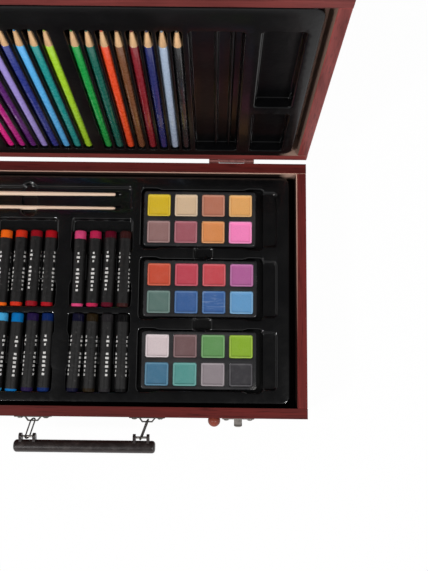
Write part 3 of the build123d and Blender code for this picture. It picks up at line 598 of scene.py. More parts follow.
def wood_finish(name, colour, along, contrast=0.45, rough=0.42, coat=0.0, figure=1.0, over=None):
    """Wood whose grain runs along one axis, with streaks, pores and a thin varnish.

    over takes the finish and its colour so far, and gives the colour to use."""
    sheen = {"Coat_Weight": coat, "Coat_Roughness": 0.25, "Specular_IOR_Level": 0.14}
    finish = Finish(name, colour, Roughness=rough, **sheen)

    def grain(across, length):
        scale = [across * figure] * 3
        scale["xyz".index(along)] = length * figure
        return finish.stretched(scale)

    streaks = finish.noise(1.0, 5, 0.6, grain(90, 5), 0.6)
    pores = finish.noise(1.0, 3, 0.6, grain(810, 35))
    cloud = finish.noise(14.0, 2, 0.5)
    light, dark = shade(colour, 1 + contrast), shade(colour, 1 - contrast)
    tint = finish.mix(finish.spread(streaks, 0.3, 0.7), dark, light)
    tint = finish.veil(pores, 0.54, 0.66, 0.7, tint, shade(colour, 1 - 1.5 * contrast))
    tint = finish.veil(cloud, 0.35, 0.65, 0.28, tint, shade(colour, 1 + 0.8 * contrast))
    finish.set("Base Color", over(finish, tint) if over else tint)
    finish.set("Roughness", finish.spread(streaks, 0.3, 0.7, rough + 0.1, rough - 0.08))
    finish.bump(finish.sum(finish.times(streaks, 0.5), pores), 0.25, 0.0004)
    return finish.material


def black_plastic(
    name, colour, rough, bent=0.09, dust=0.006, gloss=0.4, shine=0.6, flat=(0, 0, 1), scuffed=None
):
    """Black formed plastic, satin where it is flat and glossy where it was drawn over an edge.

    rough and bent are the roughness of flat and of bent places, flat is the way that flat places
    face, dust how much dust lies on it, and scuffed a worn spot."""
    sheen = {"Coat_Weight": gloss, "Coat_Roughness": 0.1, "Specular_IOR_Level": shine}
    finish = Finish(name, colour, Roughness=rough, **sheen)
    way = finish.node("ShaderNodeTexCoord").outputs["Normal"]
    facing = finish.node("ShaderNodeVectorMath", {0: way, 1: flat}, operation="DOT_PRODUCT").outputs["Value"]
    satin = finish.spread(finish.unsigned(facing), 0.96, 0.998, bent, rough)
    haze = finish.noise(38.0, 5, 0.62)
    specks = finish.noise(900.0, 2, 0.5)
    dusty = finish.veil(haze, 0.45, 0.75, dust, colour, (0.35, 0.32, 0.3, 1))
    dusty = finish.veil(specks, 0.68, 0.76, dust * 2, dusty, (0.5, 0.47, 0.45, 1))
    if scuffed:
        links = {0: finish.place, 1: scuffed}
        away = finish.node("ShaderNodeVectorMath", links, operation="DISTANCE").outputs["Value"]
        cracks = finish.unsigned(finish.sum(finish.noise(420.0, 3, 0.7, bend=1.5), 0.5, "SUBTRACT"))
        near = finish.spread(away, 3 * MM, 9 * MM, 1, 0)
        share = finish.times(finish.spread(cracks, 0.0, 0.02, 0.8, 0), near)
        dusty = finish.mix(share, dusty, (0.6, 0.58, 0.56, 1))
    finish.set("Base Color", dusty)
    finish.set("Roughness", finish.sum(satin, finish.spread(haze, 0.3, 0.7, -0.02, 0.05)))
    soft = finish.noise(55.0, 2, 0.5)
    dents = finish.noise(260.0, 2, 0.5)
    grain = finish.noise(1500.0, 2, 0.5)
    waves = finish.bump(dents, 0.2, 0.0006, finish.bump(soft, 0.16, 0.0012))
    finish.bump(grain, 0.05, 0.0002, waves)
    return finish.material


def metal_finish(name, colour, rough, tarnish, worn, body=1.0):
    """Stamped and plated metal, dulled in places."""
    finish = Finish(name, colour, Metallic=body, Roughness=rough)
    cloud = finish.noise(160.0, 4, 0.6)
    scratch = finish.noise(1.0, 3, 0.6, finish.stretched((2600, 260, 900)))
    tint = finish.veil(cloud, 0.4, 0.7, 0.75, colour, tarnish)
    finish.set("Base Color", finish.veil(scratch, 0.62, 0.72, 0.5, tint, worn))
    finish.set("Roughness", finish.spread(cloud, 0.35, 0.7, rough - 0.06, rough + 0.2))
    finish.bump(finish.sum(scratch, cloud), 0.12, 0.0002)
    return finish.material


# ------------------------------------------------------------------ copies set on points
def copies_tree():
    """Geometry nodes that set copies of an object on points, turned, and give them a material."""
    known = bpy.data.node_groups.get("set copies on points")
    if known:
        return known
    tree = bpy.data.node_groups.new("set copies on points", "GeometryNodeTree")
    sockets = (
        ("Geometry", "INPUT", "NodeSocketGeometry"),
        ("Copy", "INPUT", "NodeSocketObject"),
        ("Material", "INPUT", "NodeSocketMaterial"),
        ("Geometry", "OUTPUT", "NodeSocketGeometry"),
    )
    for name, side, kind in sockets:
        tree.interface.new_socket(name, in_out=side, socket_type=kind)
    given = tree.nodes.new("NodeGroupInput")
    result = tree.nodes.new("NodeGroupOutput")
    source = tree.nodes.new("GeometryNodeObjectInfo")
    turn = tree.nodes.new("GeometryNodeInputNamedAttribute")
    turn.data_type = "FLOAT_VECTOR"
    turn.inputs["Name"].default_value = "turn"
    to_rotation = tree.nodes.new("FunctionNodeEulerToRotation")
    lay = tree.nodes.new("GeometryNodeInstanceOnPoints")
    real = tree.nodes.new("GeometryNodeRealizeInstances")
    dress = tree.nodes.new("GeometryNodeSetMaterial")
    for output, socket in (
        (given.outputs["Geometry"], lay.inputs["Points"]),
        (given.outputs["Copy"], source.inputs["Object"]),
        (source.outputs["Geometry"], lay.inputs["Instance"]),
        (turn.outputs["Attribute"], to_rotation.inputs[0]),
        (to_rotation.outputs[0], lay.inputs["Rotation"]),
        (lay.outputs[0], real.inputs[0]),
        (real.outputs[0], dress.inputs["Geometry"]),
        (given.outputs["Material"], dress.inputs["Material"]),
        (dress.outputs[0], result.inputs[0]),
    ):
        tree.links.new(output, socket)
    return tree


def copies(name, copy, spots, turns, material, tints=None, extra=None):
    """One mesh of an object's copies at spots; tints and extra become attributes on it."""
    carrier = new_mesh_object(name, spots, [])
    turn = carrier.data.attributes.new("turn", "FLOAT_VECTOR", "POINT")
    turn.data.foreach_set("vector", [value for vector in turns for value in vector])
    if tints:
        tint = carrier.data.attributes.new("tint", "FLOAT_COLOR", "POINT")
        tint.data.foreach_set("color", [value for colour in tints for value in colour])
    for attribute, values in (extra or {}).items():
        carrier.data.attributes.new(attribute, "FLOAT", "POINT").data.foreach_set("value", values)
    tree = copies_tree()
    modifier = carrier.modifiers.new("copies", "NODES")
    modifier.node_group = tree
    names = {item.name: item.identifier for item in tree.interface.items_tree if item.in_out == "INPUT"}
    modifier[names["Copy"]] = copy
    modifier[names["Material"]] = material
    piece = settled(carrier, name)
    drop(copy)
    return piece


# ------------------------------------------------------------------ sizes and colours
def size_mm(name, text, value):
    """A length shown in the panel, in millimetres."""
    return FloatProperty(name=name, description=text, default=value, min=0.0, precision=2)


def swatch(name, text, red, green, blue):
    """A colour shown in the panel."""
    return FloatVectorProperty(
        name=name, description=text, subtype="COLOR", size=4, min=0, max=1, default=tone(red, green, blue)
    )


def watts(name, text, value):
    """A lamp's power shown in the panel."""
    return FloatProperty(name=name, description=text, default=value, unit="POWER")


def swatches(prefix, what, colours):
    """A row of colours for a property group, numbered from one."""
    return {
        f"{prefix}_{place + 1}": swatch(f"{what} {place + 1}", f"Colour of {what.lower()} {place + 1}", *rgb)
        for place, rgb in enumerate(colours)
    }


class WoodLooks(bpy.types.PropertyGroup):
    base: swatch("Base stain", "Stain on the base's rails and sides", 88, 30, 27)
    lid: swatch("Lid stain", "Stain on the lid's rails and sides", 117, 51, 48)
    raw: swatch("Raw wood", "Bare wood inside the case and the drawer", 206, 168, 150)
    # painted shade: the dark colour laid on the inner faces and gaps where shade falls inside the case
    inner: swatch("Inner faces", "Dull wood on the inner faces of the rails", 30, 18, 14)
    edge: size_mm("Edge rounding", "Rounding of the wood's edges, in millimetres", 0.8)


class TrayLooks(bpy.types.PropertyGroup):
    colour: swatch("Plastic", "Formed plastic of the trays", 6, 6, 7)
    palette: swatch("Palette plastic", "Dusty plastic of the palettes", 29, 29, 31)
    rough: FloatProperty(name="Roughness", description="Roughness of the trays", default=0.22, min=0, max=1)
    rim: size_mm("Rim rounding", "Rounding of the hollows' rims, in millimetres", 1.5)
    skirt: size_mm("Edge rounding", "Rounding of a tray's outer edge, in millimetres", 1.6)
    wall: size_mm("Sheet", "Thickness of the formed sheet, in millimetres", 0.8)


class PaintLooks(bpy.types.PropertyGroup):
    __annotations__ = {
        "rim": size_mm("Cake rim", "Width of a cake's raised rim, in millimetres", 2.0),
        "dish": size_mm("Cake hollow", "How far a cake's middle is sunk, in millimetres", 0.9),
        **swatches("back", "Back palette cake", (
            (214, 180, 24), (214, 184, 150), (184, 115, 90), (230, 168, 97),
            (143, 106, 103), (159, 86, 96), (217, 138, 78), (250, 132, 190),
        )),
        **swatches("middle", "Middle palette cake", (
            (194, 72, 46), (185, 62, 78), (194, 68, 76), (174, 92, 148),
            (84, 110, 103), (48, 88, 144), (50, 92, 150), (94, 149, 194),
        )),
        **swatches("front", "Front palette cake", (
            (204, 188, 190), (106, 78, 79), (90, 140, 80), (130, 166, 34),
            (58, 106, 134), (76, 140, 134), (134, 124, 128), (48, 46, 50),
        )),
    }


class PastelLooks(bpy.types.PropertyGroup):
    __annotations__ = {
        "paper": swatch("Wrapper", "Paper of the pastels' wrappers", 22, 21, 21),
        "mark": swatch("Wrapper dashes", "Dashes printed on the wrappers", 208, 206, 203),
        **swatches("back", "Back row pastel", (
            (238, 236, 228), (230, 212, 40), (240, 188, 12), (238, 152, 16),
            (232, 100, 18), (200, 44, 20), (138, 10, 24), (160, 12, 24),
            (206, 67, 116), (180, 31, 74), (82, 3, 26), (52, 21, 20),
        )),
        **swatches("front", "Front row pastel", (
            (138, 192, 50), (26, 138, 58), (10, 78, 48), (24, 146, 144),
            (66, 160, 208), (0, 106, 172), (30, 16, 60), (1, 32, 88),
            (9, 9, 36), (34, 24, 7), (36, 34, 36), (7, 7, 8),
        )),
    }


class PencilLooks(bpy.types.PropertyGroup):
    __annotations__ = {
        "wood": swatch("Pencil wood", "Sharpened wood of the pencils", 214, 172, 128),
        **swatches("left", "Left group pencil", (
            (240, 240, 235), (245, 235, 90), (250, 205, 30), (250, 165, 30),
            (245, 115, 35), (225, 60, 35), (200, 25, 45), (150, 20, 50),
        )),
        **swatches("middle", "Middle group pencil", (
            (240, 30, 140), (190, 32, 132), (92, 32, 112), (160, 142, 214),
            (40, 52, 132), (86, 176, 235), (20, 142, 138), (162, 206, 40),
        )),
        **swatches("right", "Right group pencil", (
            (12, 148, 62), (8, 92, 78), (226, 72, 30), (112, 68, 40),
            (126, 22, 34), (32, 38, 96), (158, 174, 196), (28, 28, 30),
        )),
    }


class FittingLooks(bpy.types.PropertyGroup):
    nickel: swatch("Plated steel", "Plated steel of the front fittings", 168, 162, 156)
    bronze: swatch("Bronzed steel", "Bronzed steel of the hinges", 140, 92, 87)
    knob: swatch("Knobs", "Turned wood of the drawer's knobs", 124, 58, 44)
    brush: swatch("Brush handles", "Varnished wood of the brushes", 226, 198, 174)


class StageLooks(bpy.types.PropertyGroup):
    left_light: watts("Left light", "Power of the left light", 15.4)
    right_light: watts("Right light", "Power of the right light", 13.0)
    glint: watts("Glint", "Power of each of the two small lights", 3.0)
    sky: FloatProperty(name="Ambient", description="Strength of the even light around", default=0.4, min=0)
    shadow: FloatProperty(name="Shadow", description="Share of its shadow on the floor", default=0.03, max=1)


def looks(group):
    """The scene's values of one property group."""
    return getattr(bpy.context.scene, group)


def colours(group, prefix, count, first=1):
    """Numbered colours of a property group, as plain tuples."""
    return [tuple(getattr(looks(group), f"{prefix}_{n}")) for n in range(first, first + count)]


def mm_box(node):
    """A node's lowest and highest corner in millimetres."""
    low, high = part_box(node)
    return np.array(low) / MM, np.array(high) / MM


class BuildStep(bpy.types.Operator):
    """What every step of the build shares"""

    bl_options = {"REGISTER", "UNDO"}

    def execute(self, context):
        self.build(context)
        return {"FINISHED"}


# ------------------------------------------------------------------ stage
class CASE_OT_stage(BuildStep):
    """Set the camera, the lights, the world and the pale floor"""

    bl_idname = "paint_case.stage"
    bl_label = "Stage"

    EYE, EYE_TURN = (0.10986, -0.08815, 0.67667), (0.1455, 0.0012, 0.0119)  # metres and radians
    LENS, SENSOR = 43.69, 36  # millimetres
    LIT = (0.05, 0, 0.05)  # where the lamps point
    # each lamp's name, place, width in metres, and the property with its power
    LAMPS = (
        ("left light", (-1.05, -0.85, 1.6), 0.22, "left_light"),
        ("left glint", (-0.8, -0.85, 1.65), 0.1, "glint"),
        ("right glint", (0.8, -0.85, 1.65), 0.1, "glint"),
        ("right light", (0.95, -0.85, 1.65), 0.22, "right_light"),
    )
    FLOOR = 5  # metres from the middle to each side

    def build(self, context):
        scene, stage = context.scene, looks("case_stage")
        scene.view_settings.view_transform = "Standard"
        camera = linked("camera", bpy.data.cameras.new("camera"))
        camera.data.lens, camera.data.sensor_width = self.LENS, self.SENSOR
        camera.location, camera.rotation_euler = self.EYE, self.EYE_TURN
        scene.camera = camera
        for name, spot, size, power in self.LAMPS:
            self.lamp(name, spot, size, getattr(stage, power))
        self.world(scene, stage.sky)
        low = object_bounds()[0][2]
        corners = [(x * self.FLOOR, y * self.FLOOR, low) for x, y in ((-1, -1), (1, -1), (1, 1), (-1, 1))]
        floor = new_mesh_object("floor", corners, [(0, 1, 2, 3)])
        paint_all(floor, self.floor_finish(stage.shadow))
        floor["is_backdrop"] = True

    def lamp(self, name, spot, size, power):
        """A square lamp that faces the case."""
        lamp = linked(name, bpy.data.lights.new(name, "AREA"))
        lamp.data.size, lamp.data.energy = size, power
        lamp.location = spot
        lamp.rotation_euler = (Vector(self.LIT) - Vector(spot)).to_track_quat("-Z", "Y").to_euler()

    def seen(self, tree, *rays):
        """1 for the named kinds of ray, and 0 for the others."""
        path = tree.nodes.new("ShaderNodeLightPath")
        total = path.outputs[rays[0]]
        for ray in rays[1:]:
            both = tree.nodes.new("ShaderNodeMath")
            both.operation = "MAXIMUM"
            tree.links.new(total, both.inputs[0])
            tree.links.new(path.outputs[ray], both.inputs[1])
            total = both.outputs[0]
        return total

    def world(self, scene, sky):
        """Even light, with a white surround that darkens overhead where it is mirrored."""
        world = bpy.data.worlds.new("even light")
        world.use_nodes = True
        tree = world.node_tree
        back = tree.nodes["Background"]
        back.inputs["Color"].default_value = (1, 1, 1, 1)
        parts = tree.nodes.new("ShaderNodeSeparateXYZ")
        tree.links.new(tree.nodes.new("ShaderNodeTexCoord").outputs["Generated"], parts.inputs[0])
        surround = self.between(tree, parts.outputs["Z"], 1.0, 0.05, (0.1, 0.75))
        mirrored = self.seen(tree, "Is Glossy Ray", "Is Transmission Ray")
        level = self.between(tree, mirrored, sky, surround)
        level = self.between(tree, self.seen(tree, "Is Camera Ray"), level, 1.0)
        tree.links.new(level, back.inputs["Strength"])
        scene.world = world

    def between(self, tree, value, low, high, span=(0.0, 1.0)):
        """A number between two others, by a value's place in a span."""
        node = tree.nodes.new("ShaderNodeMapRange")
        node.inputs["From Min"].default_value, node.inputs["From Max"].default_value = span
        tree.links.new(value, node.inputs["Value"])
        for socket, end in (("To Min", low), ("To Max", high)):
            if isinstance(end, bpy.types.NodeSocket):
                tree.links.new(end, node.inputs[socket])
            else:
                node.inputs[socket].default_value = end
        return node.outputs[0]

    def floor_finish(self, shadow):
        """A white floor that keeps a little of the object's shadow."""
        finish = Finish("floor white", (0.9, 0.9, 0.9, 1), Roughness=0.9)
        glow = finish.node("ShaderNodeEmission", {"Color": (1, 1, 1, 1), "Strength": 1.0})
        seen = self.seen(finish.tree, "Is Camera Ray", "Is Glossy Ray", "Is Transmission Ray")
        share = finish.times(seen, 1 - shadow)
        links = {0: share, 1: finish.shader.outputs[0], 2: glow.outputs[0]}
        both = finish.node("ShaderNodeMixShader", links)
        out = finish.tree.nodes["Material Output"]
        finish.tree.links.new(both.outputs[0], out.inputs["Surface"])
        return finish.material


# ------------------------------------------------------------------ wood
class CASE_OT_wood(BuildStep):
    """Round the edges of the wooden pieces and stain them, with bare wood inside and painted shade on the
    inner faces
    """

    bl_idname = "paint_case.wood"
    bl_label = "Wood"

    # painted shade: the lid's inner faces are bare wood darkened by this share
    LID_INSIDE_SHADE = 0.43  # how dark the lid's inner faces are against bare wood
    EDGE, INSIDE, LIP = 1, 2, 3  # the places of a rail's finishes, after the stain of its flat faces

    def build(self, context):
        look = looks("case_wood")
        stain = wood_finish("base stain", look.base, "x", coat=0.05)
        worn = wood_finish("base edge", shade(look.base, 1.3), "x", 0.35)
        pale = {axis: wood_finish(f"lid stain {axis}", look.lid, axis, coat=0.05) for axis in "xz"}
        worn_lid = shade(look.lid, 1.35)
        pale_worn = {axis: wood_finish(f"lid edge {axis}", worn_lid, axis, 0.3) for axis in "xz"}

        def bare(name, axis, colour=look.raw, over=None):
            return wood_finish(name, colour, axis, 0.16, 0.7, over=over)

        raw = {axis: bare(f"bare wood {axis}", axis) for axis in "xyz"}
        # painted shade: the inner faces are bare wood, darkened where shade falls inside the case
        inner = {
            "x": bare("inner back wood", "x", over=self.painted_shade_below_corners),
            "y": bare("inner side wood", "y", over=self.painted_shade_below),
        }
        # painted shade: the inner edges fade from bare wood at the back to darker towards the front
        lip = {axis: bare(f"inner edge {axis}", axis, over=self.shaded_forward) for axis in "xy"}
        # painted shade: the hinge rail's inner face is bare wood darkened where shade falls
        shaded_hinge_rail = bare("glued wood", "x", shade(look.raw, self.LID_INSIDE_SHADE), self.painted_shade_between)
        # painted shade: the lid's front rail and sides are bare wood darkened inside
        dusky = bare("dusky bare wood", "z", shade(look.raw, self.LID_INSIDE_SHADE))
        # painted light: the last number makes each rail's stain and worn edge lighter or darker by how the
        # light falls on that side
        for node, axis, inward, depth in (
            ("base_back", "x", (0, -1, 0), 0.85),
            ("base_front_rail", "x", (0, 1, 0), 0.92),
            ("base_side_left", "y", (1, 0, 0), 1.12),
            ("base_side_right", "y", (-1, 0, 0), 1.2),
        ):
            side = node.replace("_", " ")
            finishes = (
                wood_finish(f"{side} stain", shade(look.base, depth), axis, coat=0.05),
                wood_finish(f"{side} edge", shade(look.base, 1.25 * depth), axis, 0.35),
                inner[axis],
                lip[axis],
            )
            self.rail(node, "case", look.edge, inward, (0, 0, 1), finishes)
        turn = OPEN.to_3x3()
        for node, axis, inward, inside in (
            ("lid_hinge_rail", "x", (0, -1, 0), shaded_hinge_rail),
            ("lid_front_rail", "x", (0, 1, 0), dusky),
            ("lid_side_left", "z", (1, 0, 0), dusky),
            ("lid_side_right", "z", (-1, 0, 0), dusky),
        ):
            finishes = (pale[axis], pale_worn[axis], inside, pale_worn[axis])
            self.rail(node, "lid", look.edge, turn @ Vector(inward), turn @ Vector((0, 0, -1)), finishes)
        self.rail("drawer_front", "drawer", 0.6, (0, 1, 0), (0, 0, 1), (stain, worn, raw["x"], raw["x"]))
        self.panel("lid_panel", "lid", pale["x"], raw["x"], turn @ Vector((0, 0, -1)))
        self.panel("base_bottom", "case", stain, raw["x"], (0, 0, 1))
        for node, body, finish in (
            # painted shade: the shelf, deep below the tray, takes the inner wood's painted shade
            ("base_shelf", "case", inner["x"]),
            ("drawer_side_left", "drawer", raw["y"]),
            ("drawer_side_right", "drawer", raw["y"]),
            ("drawer_back", "drawer", raw["x"]),
            ("drawer_bottom", "drawer", raw["x"]),
        ):
            piece = softened(node, f"{node}_worked", 0.3 * MM)
            paint_all(piece, finish)
            hand_over(piece, body, node)

    def painted_shade_below(self, finish, tint, corner=0.0):
        """Painted shade on the base's inner faces: bare wood near the rim towards the back, and the shade
        colour deeper down and towards the front.
        """
        _, y, z = finish.parts()
        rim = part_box("base_back")[1][2]
        near_rim = finish.spread(z, rim - 3.4 * MM, rim - 2.2 * MM)
        near_rim = finish.times(near_rim, finish.spread(y, -30 * MM, 90 * MM))
        # painted shade: bare wood only near the rim at the back, and the shade colour below and towards the
        # front
        bare = finish.sum(near_rim, corner, "MAXIMUM")
        return finish.mix(bare, looks("case_wood").inner, tint)

    def painted_shade_below_corners(self, finish, tint):
        """The same painted shade, with bare wood in the back corners that darkens lower down."""
        x, y, z = finish.parts()
        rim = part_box("base_back")[1][2]
        out = finish.spread(finish.unsigned(x), 167 * MM, 174 * MM)
        deep = finish.spread(z, rim - 20 * MM, rim - 9 * MM, 0, 0.85)
        near_back = finish.spread(y, 95 * MM, 103 * MM)
        return self.painted_shade_below(finish, tint, finish.times(finish.times(out, deep), near_back))

    def shaded_forward(self, finish, tint):
        """Painted shade on the base's inner edges: bare at the back, and darkened to a stain colour towards
        the front.
        """
        bare = finish.spread(finish.parts()[1], -50 * MM, 100 * MM)
        return finish.mix(bare, shade(looks("case_wood").base, 1.25), tint)

    def painted_shade_between(self, finish, tint):
        """Painted shade on the lid's hinge rail inside: dark in the middle, and bare in the corners."""
        bare = finish.spread(finish.unsigned(finish.parts()[0]), 165 * MM, 174 * MM)
        return finish.mix(bare, shade(looks("case_wood").inner, 0.3), tint)

    def rail(self, node, body, edge, inward, rimward, finishes):
        """A stained rail or side: worn outer edges, an inner face darkened with painted shade, and an inner
        edge of its own finish.
        """
        piece = softened(node, f"{node}_worked", edge * MM, 3)
        for material in finishes:
            piece.data.materials.append(material)
        inward, rimward = Vector(inward).normalized(), Vector(rimward).normalized()
        reach = max(vertex.co.dot(inward) for vertex in piece.data.vertices)
        top = max(vertex.co.dot(rimward) for vertex in piece.data.vertices)
        for face in piece.data.polygons:
            straight = max(abs(face.normal.dot(axis)) for axis in self.axes(node))
            near_rim = face.center.dot(rimward) > top - 1.2 * edge * MM
            if face.normal.dot(inward) > 0.9 and face.center.dot(inward) > reach - 4 * MM:
                face.material_index = self.INSIDE
            elif straight < 0.97 and face.normal.dot(inward) > 0.2 and near_rim:
                face.material_index = self.LIP
            elif straight < 0.97:
                face.material_index = self.EDGE
        hand_over(piece, body, node)

    def axes(self, node):
        """The three directions square to a piece's faces."""
        turn = OPEN.to_3x3() if node.startswith("lid") else Matrix.Identity(3)
        return [turn @ Vector(axis) for axis in ((1, 0, 0), (0, 1, 0), (0, 0, 1))]

    def panel(self, node, body, stain, raw, inward):
        """A plywood panel, stained outside and bare inside."""
        piece = softened(node, f"{node}_worked", 0.2 * MM)
        for material in (stain, raw):
            piece.data.materials.append(material)
        for face in piece.data.polygons:
            face.material_index = int(face.normal.dot(Vector(inward)) > 0.5)
        hand_over(piece, body, node)


# ------------------------------------------------------------------ base tray
def tray_edge(low, high, drop_down, corner, rounding, lean):
    """A tray's outline and skirt."""
    across = ((low[0] + high[0]) / 2, (low[1] + high[1]) / 2, high[0] - low[0], high[1] - low[1], corner)
    return Hollow([across], drop_down, lean=lean, rim=rounding, root=0.6)


class CASE_OT_base_tray(BuildStep):
    """Form the base tray with its recesses, bays, ridges and finger slots"""

    bl_idname = "paint_case.base_tray"
    bl_label = "Base tray"

    # sizes in millimetres; a pair is a width and a length, and y is counted from the middle of a bay
    WIDER = 1.1  # how far the sheet reaches past the plain tray on the right
    PALETTES_IN = 79.8  # from the plain tray's right edge to the middle of the palettes
    RECESS, EAR, EAR_OUT = (113.8, 56.6), (19.0, 58.8), 47.4  # a palette's recess and its wider ends
    STEP, STEP_OUT = (17.0, 53.6), 61.0  # the shallow step beside it
    NOTCH, NOTCH_OUT = (19.6, 14), 1.1  # the finger notch between two recesses
    BAY, BAY_DEEP = 57.9, 9.0  # a bay's width and depth
    HEAD, FOOT = (25.95, 20.7), (-24.3, 24.0)  # y and length of its two ends
    WAIST = (54.9, 60)  # its drawn-in middle
    RIB, RIB_Y, RIB_TALL = (4.4, 27), 1.7, 6.9  # the ridges between the sticks
    THUMB, THUMB_Y, THUMB_DEEP = (57.9, 17.3), 38.9, 4.6  # the room above the back bays
    BRUSHES, BRUSHES_Y, BRUSHES_DEEP = (194, 24.2), 82.9, 3.0  # the recess of the brushes
    TROUGH = (174.6, 6.0)  # where one brush lies
    SLOT, SLOT_OUT, SLOT_Y = (17.6, 34.4), 1.4, 81.2  # the finger slot across the brushes

    def build(self, context):
        look = looks("case_trays")
        low, high = mm_box("base_tray")
        hollows = self.palette_hollows(high[0], look.rim)
        hollows += self.pastel_hollows(look.rim)
        hollows += self.brush_hollows(look.rim)
        wider = (high[0] + self.WIDER, high[1])
        tall = high[2] - low[2] - 0.6
        edge = tray_edge(low, wider, tall, corner=9.0, rounding=look.skirt, lean=0.2)
        place = Matrix.Translation((0, 0, high[2] * MM))
        piece = sheet_piece("formed_base_tray", edge, hollows, look.wall * MM, place, warp=0.08)
        paint_all(piece, black_plastic("tray plastic", look.colour, look.rough))
        hand_over(piece, "case", "base_tray")

    def palette_hollows(self, right, rim):
        """The three palette recesses, their shallow steps and the notches between them."""
        x = right - self.PALETTES_IN
        rows = [float(sum(mm_box(f"palette_{row}"))[1] / 2) for row in PALETTES]
        made = []
        for y in rows:
            boxes = [(x, y, *self.RECESS, 5)]
            boxes += [(x + side * self.EAR_OUT, y, *self.EAR, 5) for side in (-1, 1)]
            made.append(Hollow(boxes, 9.5, lean=2.5, rim=rim, root=0.6, blend=3, extra=(3.0, 6.0)))
            step = (x + self.STEP_OUT, y, *self.STEP, 5)
            made.append(Hollow([step], 3.0, lean=14, rim=rim, root=1.0))
        for first, second in zip(rows, rows[1:]):
            between = (x + self.NOTCH_OUT, (first + second) / 2, *self.NOTCH, 4)
            made.append(Hollow([between], 6.0, lean=6, rim=rim, root=1.0))
        return made

    def pastel_hollows(self, rim):
        """Six bays with drawn-in waists and ridges between the sticks, and the thumb rooms."""
        made = []
        for row in ROWS:
            for bay in BAYS:
                low, high = mm_box(f"pastel_sticks_{row}_{bay}")
                x, y = (low[0] + high[0]) / 2, (low[1] + high[1]) / 2
                boxes = [(x, y + out, self.BAY, length, 4) for out, length in (self.HEAD, self.FOOT)]
                boxes.append((x, y, *self.WAIST, 4))
                depth = self.BAY_DEEP
                extra = (self.THUMB_DEEP,)
                made.append(Hollow(boxes, depth, lean=3, rim=rim, root=1.6, blend=4, extra=extra))
                for rib in (-1, 0, 1):
                    shape = (x + rib * (high[0] - low[0] - 10.5) / 3, y + self.RIB_Y, *self.RIB, 2.1)
                    ridge = Hollow([shape], self.RIB_TALL, lean=8, rim=0.5, root=0.7, base=-depth, up=True)
                    made.append(ridge)
                if row == "back":
                    shape = (x, y + self.THUMB_Y, *self.THUMB, 5)
                    made.append(Hollow([shape], self.THUMB_DEEP, lean=8, rim=rim, root=1.6))
        return made

    def brush_hollows(self, rim):
        """A shallow recess with a trough for each brush and a finger slot across them."""
        low, high = mm_box("brush_bristles")[0], mm_box("brush_handles")[1]
        x, depth = (low[0] + high[0]) / 2 + 2.3, self.BRUSHES_DEEP
        recess = (x, self.BRUSHES_Y, *self.BRUSHES, 4)
        made = [Hollow([recess], depth, lean=12, rim=rim, root=1.0)]
        for box in solids_of("brush_ferrules"):
            trough = (x, middle(box).y / MM, *self.TROUGH, 2.9)
            made.append(Hollow([trough], 6.5, lean=3, rim=0.7, root=1.6, extra=(depth,)))
        slot = (x + self.SLOT_OUT, self.SLOT_Y, *self.SLOT, 8.7)
        made.append(Hollow([slot], 6.5, lean=5, rim=rim, root=1.2, extra=(depth,)))
        return made


